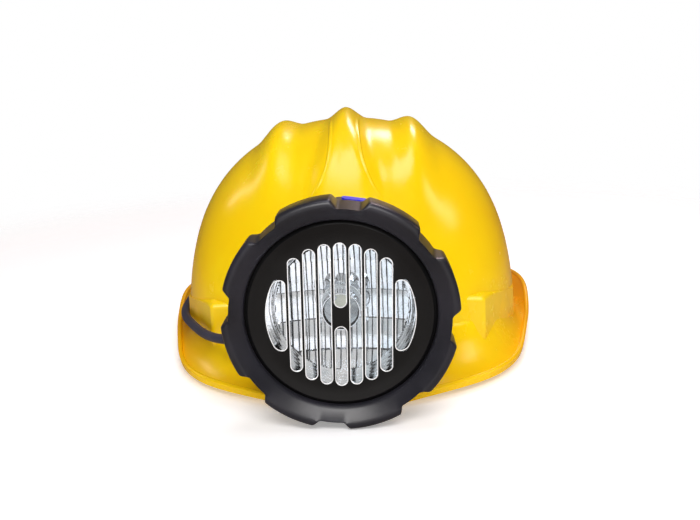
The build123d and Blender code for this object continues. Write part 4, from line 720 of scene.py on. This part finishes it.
def slot_frames(name, set_in, wide, front, deep, finish):
    """Narrow frames round all slots: set in from the slot's wall, with a width, a front and a depth."""
    frames = bmesh.new()
    columns = []
    for index in range(-side_slots, side_slots + 1):
        reach = sqrt(field_radius**2 - (index * slot_pitch) ** 2)
        foot, top = -reach - field_drop, reach - field_drop
        if index:
            columns.append((index * slot_pitch, foot, top))
        else:
            columns += [(0, foot, bridge_low), (0, bridge_high, top)]
    for x, low, high in columns:
        ring = bmesh.ops.create_circle(frames, segments=32, radius=slot_half - set_in)["verts"]
        for vert in ring:
            lift = (high - low) / 2 - slot_half
            vert.co.y += lift if vert.co.y > 0 else -lift
            vert.co.x += x
            vert.co.y += (low + high) / 2
        edges = list({edge for vert in ring for edge in vert.link_edges})
        face = bmesh.ops.contextual_create(frames, geom=edges)["faces"]
        bmesh.ops.inset_region(frames, faces=face, thickness=wide, use_boundary=True, use_even_offset=True)
        bmesh.ops.delete(frames, geom=face, context="FACES_ONLY")
    half_height = end_half_height - set_in
    for side in (-1, 1):
        crescent = bmesh.new()
        bmesh.ops.create_circle(crescent, segments=180, radius=end_outer - set_in, cap_ends=True)
        cuts = (
            ((side * (end_inner + set_in), 0, 0), (-side, 0, 0)),
            ((0, half_height, 0), (0, 1, 0)),
            ((0, -half_height, 0), (0, -1, 0)),
        )
        for spot, away in cuts:
            bmesh.ops.bisect_plane(crescent, geom=crescent.verts[:] + crescent.edges[:] + crescent.faces[:],
                                   plane_co=spot, plane_no=away, clear_outer=True)
        corners = [v for v in crescent.verts if abs(abs(v.co.y) - half_height) < 1e-6]
        beside = [
            v for v in crescent.verts
            if v not in corners and min((v.co - corner.co).length for corner in corners) < end_round_reach
        ]
        bmesh.ops.dissolve_verts(crescent, verts=beside)
        corners = [v for v in crescent.verts if abs(abs(v.co.y) - half_height) < 1e-6]
        bmesh.ops.bevel(crescent, geom=corners, offset=end_round - set_in, offset_type="OFFSET", segments=8,
                        profile=0.5, affect="VERTICES", clamp_overlap=True, material=-1)
        bmesh.ops.translate(crescent, verts=crescent.verts, vec=(0, -field_drop, 0))
        bmesh.ops.inset_region(crescent, faces=crescent.faces[:], thickness=wide, use_boundary=True,
                               use_even_offset=True)
        inner = max(crescent.faces, key=lambda face: face.calc_area())
        bmesh.ops.delete(crescent, geom=[inner], context="FACES_ONLY")
        held = bpy.data.meshes.new("crescent")
        crescent.to_mesh(held)
        crescent.free()
        frames.from_mesh(held)
        bpy.data.meshes.remove(held)
    walls = bmesh.ops.extrude_face_region(frames, geom=frames.faces[:])
    risen = [item for item in walls["geom"] if isinstance(item, bmesh.types.BMVert)]
    bmesh.ops.translate(frames, verts=risen, vec=(0, 0, deep))
    bmesh.ops.rotate(frames, verts=frames.verts, cent=(0, 0, 0), matrix=Matrix.Rotation(-face_roll, 3, "Z"))
    for vert in frames.verts:
        vert.co = Vector((vert.co.x, front + vert.co.z, lamp_axis_z + vert.co.y))
    piece = made_from(frames, name, finish, 30)
    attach(piece, "lamp")


slot_frames("slot_edges", set_in=0.15 * mm, wide=0.33 * mm, front=lamp_front_y + 7.85 * mm, deep=0.6 * mm,
            finish=edge_painted_highlight)

# Face plate: black polished ABS, with a raised band round the slots and a thin lip that laps over each of the
# lens's bars.
face_plastic = moulded("black_face", (14, 14, 15), (20, 20, 21), 0.3, 0.0012, 0.000015,
                       Specular_IOR_Level=0.35)
rolled_copy("slotted_face", "face_plate", face_plastic)
slot_frames("slot_lips", set_in=-0.03 * mm, wide=0.18 * mm, front=lamp_front_y + 7.82 * mm, deep=0.6 * mm,
            finish=face_plastic)

# Gaskets, glands and cable: soft dark rubber and PVC with a dry bloom. The cable runs from the lamp's gland to the
# gutter and round to the battery's gland.
rubber = moulded("bloomed_rubber", (50, 51, 68), (64, 65, 84), 0.5, 0.0008, 0.00003)
for node in ("lens_gasket", "lamp_gland", "battery_gland", "cover_gasket", "lamp_cable"):
    finished(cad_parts[node], rubber)

# Bezel ring: charcoal elastomer moulded over ABS, with eight grip pads between eight finger notches.
# The funnel inside runs down to the face, and every edge is rounded.
elastomer = moulded("charcoal_elastomer", (34, 34, 40), (45, 44, 53), 0.31, 0.0005, 0.00002)
# Corners of the ring's section: depth from the lamp's front rim, and radius, in millimetres.
ring_profile = (
    (7.5, 44.25), (6.4, 44.3), (5.5, 44.5), (4.8, 44.95), (4.1, 45.7), (0.7, 50.1), (0.3, 50.75), (0.08, 51.2),
    (0.0, 51.8), (0.1, 52.5), (0.4, 53.2), (1.0, 53.95), (1.8, 54.35), (2.8, 54.48), (15.4, 54.48), (16.5, 54.3),
    (17.2, 53.8), (17.48, 53.0), (17.48, 46.08), (7.5, 46.08),
)
ring_steps = 480
ring_deep = 17.5 * mm
notch_front, notch_rear = 50.3 * mm, 51.3 * mm
notch_pitch = radians(45)
notch_turn = radians(6.7)
notch_half, notch_ramp = radians(5.4), radians(4.4)
ring = bmesh.new()
loop = [ring.verts.new((0, lamp_front_y + depth * mm, radius * mm)) for depth, radius in ring_profile]
edges = [ring.edges.new((loop[index - 1], loop[index])) for index in range(len(loop))]
bmesh.ops.spin(ring, geom=loop + edges, cent=(0, 0, 0), axis=(0, 1, 0), angle=2 * pi, steps=ring_steps,
               dvec=(0, 0, 0), use_merge=True)
for vert in ring.verts:
    flat = Vector((vert.co.x, vert.co.z))
    back = min(max((vert.co.y - lamp_front_y) / ring_deep, 0), 1)
    notch_floor = notch_front + (notch_rear - notch_front) * back
    if flat.length <= notch_floor:
        continue
    turn = Vector((0, 1)).angle_signed(flat)
    off = abs((turn - notch_turn + notch_pitch / 2) % notch_pitch - notch_pitch / 2)
    rise = min(max((off - notch_half) / notch_ramp, 0), 1)
    rise = rise * rise * (3 - 2 * rise)
    reach = notch_floor + (flat.length - notch_floor) * rise
    vert.co.x, vert.co.z = flat.normalized() * reach
bmesh.ops.translate(ring, verts=ring.verts, vec=(0, 0, lamp_axis_z))
grip_ring = made_from(ring, "grip_ring", elastomer, 50)
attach(grip_ring, "bezel")
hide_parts("bezel_ring")

# Push button: a cap of blue silicone over the switch, behind the ring at the lamp's top. A spring under it brings
# it back up.
blue_cap = moulded("blue_silicone", (24, 32, 226), (34, 46, 240), 0.35, 0.0008, 0.00002)
finished(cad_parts["button"], blue_cap)

# Battery: case and lid moulded from black polycarbonate, riveted to the back of the shell. The button's switch has
# a body of the same plastic.
case_plastic = moulded("battery_polycarbonate", (34, 35, 38), (46, 47, 51), 0.46, 0.0011, 0.00006)
for node in ("battery_case", "battery_cover", "switch_body"):
    finished(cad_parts[node], case_plastic)

# Battery lid ribs: six low stiffening ribs moulded across the lid.
# They are of the lid's own plastic, with rounded edges.
lid_low, lid_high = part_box("battery_cover")
lid_middle = (lid_low + lid_high) / 2
rib_count = 6
rib_size = (56 * mm, 1.6 * mm, 2.2 * mm)
rib_pitch, rib_sink, rib_round = 4.6 * mm, 0.2 * mm, 0.55 * mm
ribs = bmesh.new()
for index in range(rib_count):
    bar = bmesh.ops.create_cube(ribs, size=1.0)["verts"]
    bmesh.ops.scale(ribs, verts=bar, vec=rib_size)
    rise = (index - (rib_count - 1) / 2) * rib_pitch
    bmesh.ops.translate(ribs, verts=bar, vec=(0, lid_high.y - rib_sink, lid_middle.z + rise))
bmesh.ops.bevel(ribs, geom=ribs.edges[:], offset=rib_round, offset_type="OFFSET", segments=3, profile=0.5,
                affect="EDGES", clamp_overlap=True, material=-1)
lid_ribs = made_from(ribs, "lid_ribs", case_plastic, 50)
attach(lid_ribs, "helmet")

# Charge lamp and charging plug: a clear bead in a bright rim on the lid, and a rubber plug with a pull tab in the
# charging socket on the case's side.
button_steps = 48


def turned_button(name, outline, middle, facing, finish):
    """Small round fitting spun from (radius, rise) corners, set on a flat face that looks along facing."""
    mesh = bmesh.new()
    line = [mesh.verts.new((radius * mm, 0, rise * mm)) for radius, rise in outline]
    spokes = [mesh.edges.new(pair) for pair in zip(line, line[1:])]
    bmesh.ops.spin(mesh, geom=line + spokes, cent=(0, 0, 0), axis=(0, 0, 1), angle=2 * pi, steps=button_steps,
                   dvec=(0, 0, 0), use_merge=True)
    bmesh.ops.remove_doubles(mesh, verts=mesh.verts, dist=1e-6)
    turn = Vector(facing).to_track_quat("Z", "Y").to_matrix().to_4x4()
    bmesh.ops.transform(mesh, matrix=Matrix.Translation(middle) @ turn, verts=mesh.verts)
    piece = made_from(mesh, name, finish, 50)
    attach(piece, "helmet")


bead_rise = 16.2 * mm
bead_spot = Vector((lid_middle.x, lid_high.y, lid_middle.z + bead_rise))
bead_outline = ((0, 0.75), (0.8, 0.7), (1.4, 0.45), (1.7, 0.1), (1.75, -0.5), (0, -0.5))
bead_rim_outline = ((1.8, -0.2), (1.8, 0.35), (2.0, 0.5), (2.3, 0.5), (2.6, 0.25), (2.65, -0.2))
turned_button("charge_lamp", bead_outline, bead_spot, (0, 1, 0), glass)
turned_button("charge_lamp_rim", bead_rim_outline, bead_spot, (0, 1, 0), chrome)
plug_y = 131 * mm
_, case_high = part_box("battery_case")
plug_spot = Vector((case_high.x, plug_y, lid_middle.z))
plug_outline = ((0, 1.0), (3.2, 1.0), (3.6, 1.5), (4.8, 1.7), (5.6, 1.5), (6.0, 0.9), (6.05, -0.3), (0, -0.3))
turned_button("charge_plug", plug_outline, plug_spot, (1, 0, 0), rubber)
tab_size = (1.2 * mm, 4.4 * mm, 6.0 * mm)
tab_shift = Vector((0.7 * mm, 0, -7.4 * mm))
tab_round = 0.45 * mm
tab = bmesh.new()
bmesh.ops.create_cube(tab, size=1.0)
bmesh.ops.scale(tab, verts=tab.verts, vec=tab_size)
bmesh.ops.translate(tab, verts=tab.verts, vec=plug_spot + tab_shift)
bmesh.ops.bevel(tab, geom=tab.edges[:], offset=tab_round, offset_type="OFFSET", segments=3, profile=0.5,
                affect="EDGES", clamp_overlap=True, material=-1)
pull_tab = made_from(tab, "pull_tab", rubber, 50)
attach(pull_tab, "helmet")

# Cells and contacts: two cells in green shrink wrap inside the battery box, joined by strips of rolled brass
# welded across their ends.
wrap = moulded("cell_wrap", (30, 120, 92), (38, 138, 106), 0.3, 0.002, 0.00001)
for node in ("cell_upper", "cell_lower"):
    finished(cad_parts[node], wrap)
brass = Finish("brass_strip")
rolled = brass.cloud(0.0008, 4.0, 0.6, (1, 1, 10))
brass.set(
    Base_Color=brass.blend(rolled, srgb(196, 160, 92), srgb(176, 138, 72)),
    Metallic=1.0,
    Roughness=0.3 + rolled * 0.1,
    Normal=brass.relief(rolled, 0.00002),
)
finished(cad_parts["battery_contacts"], brass)
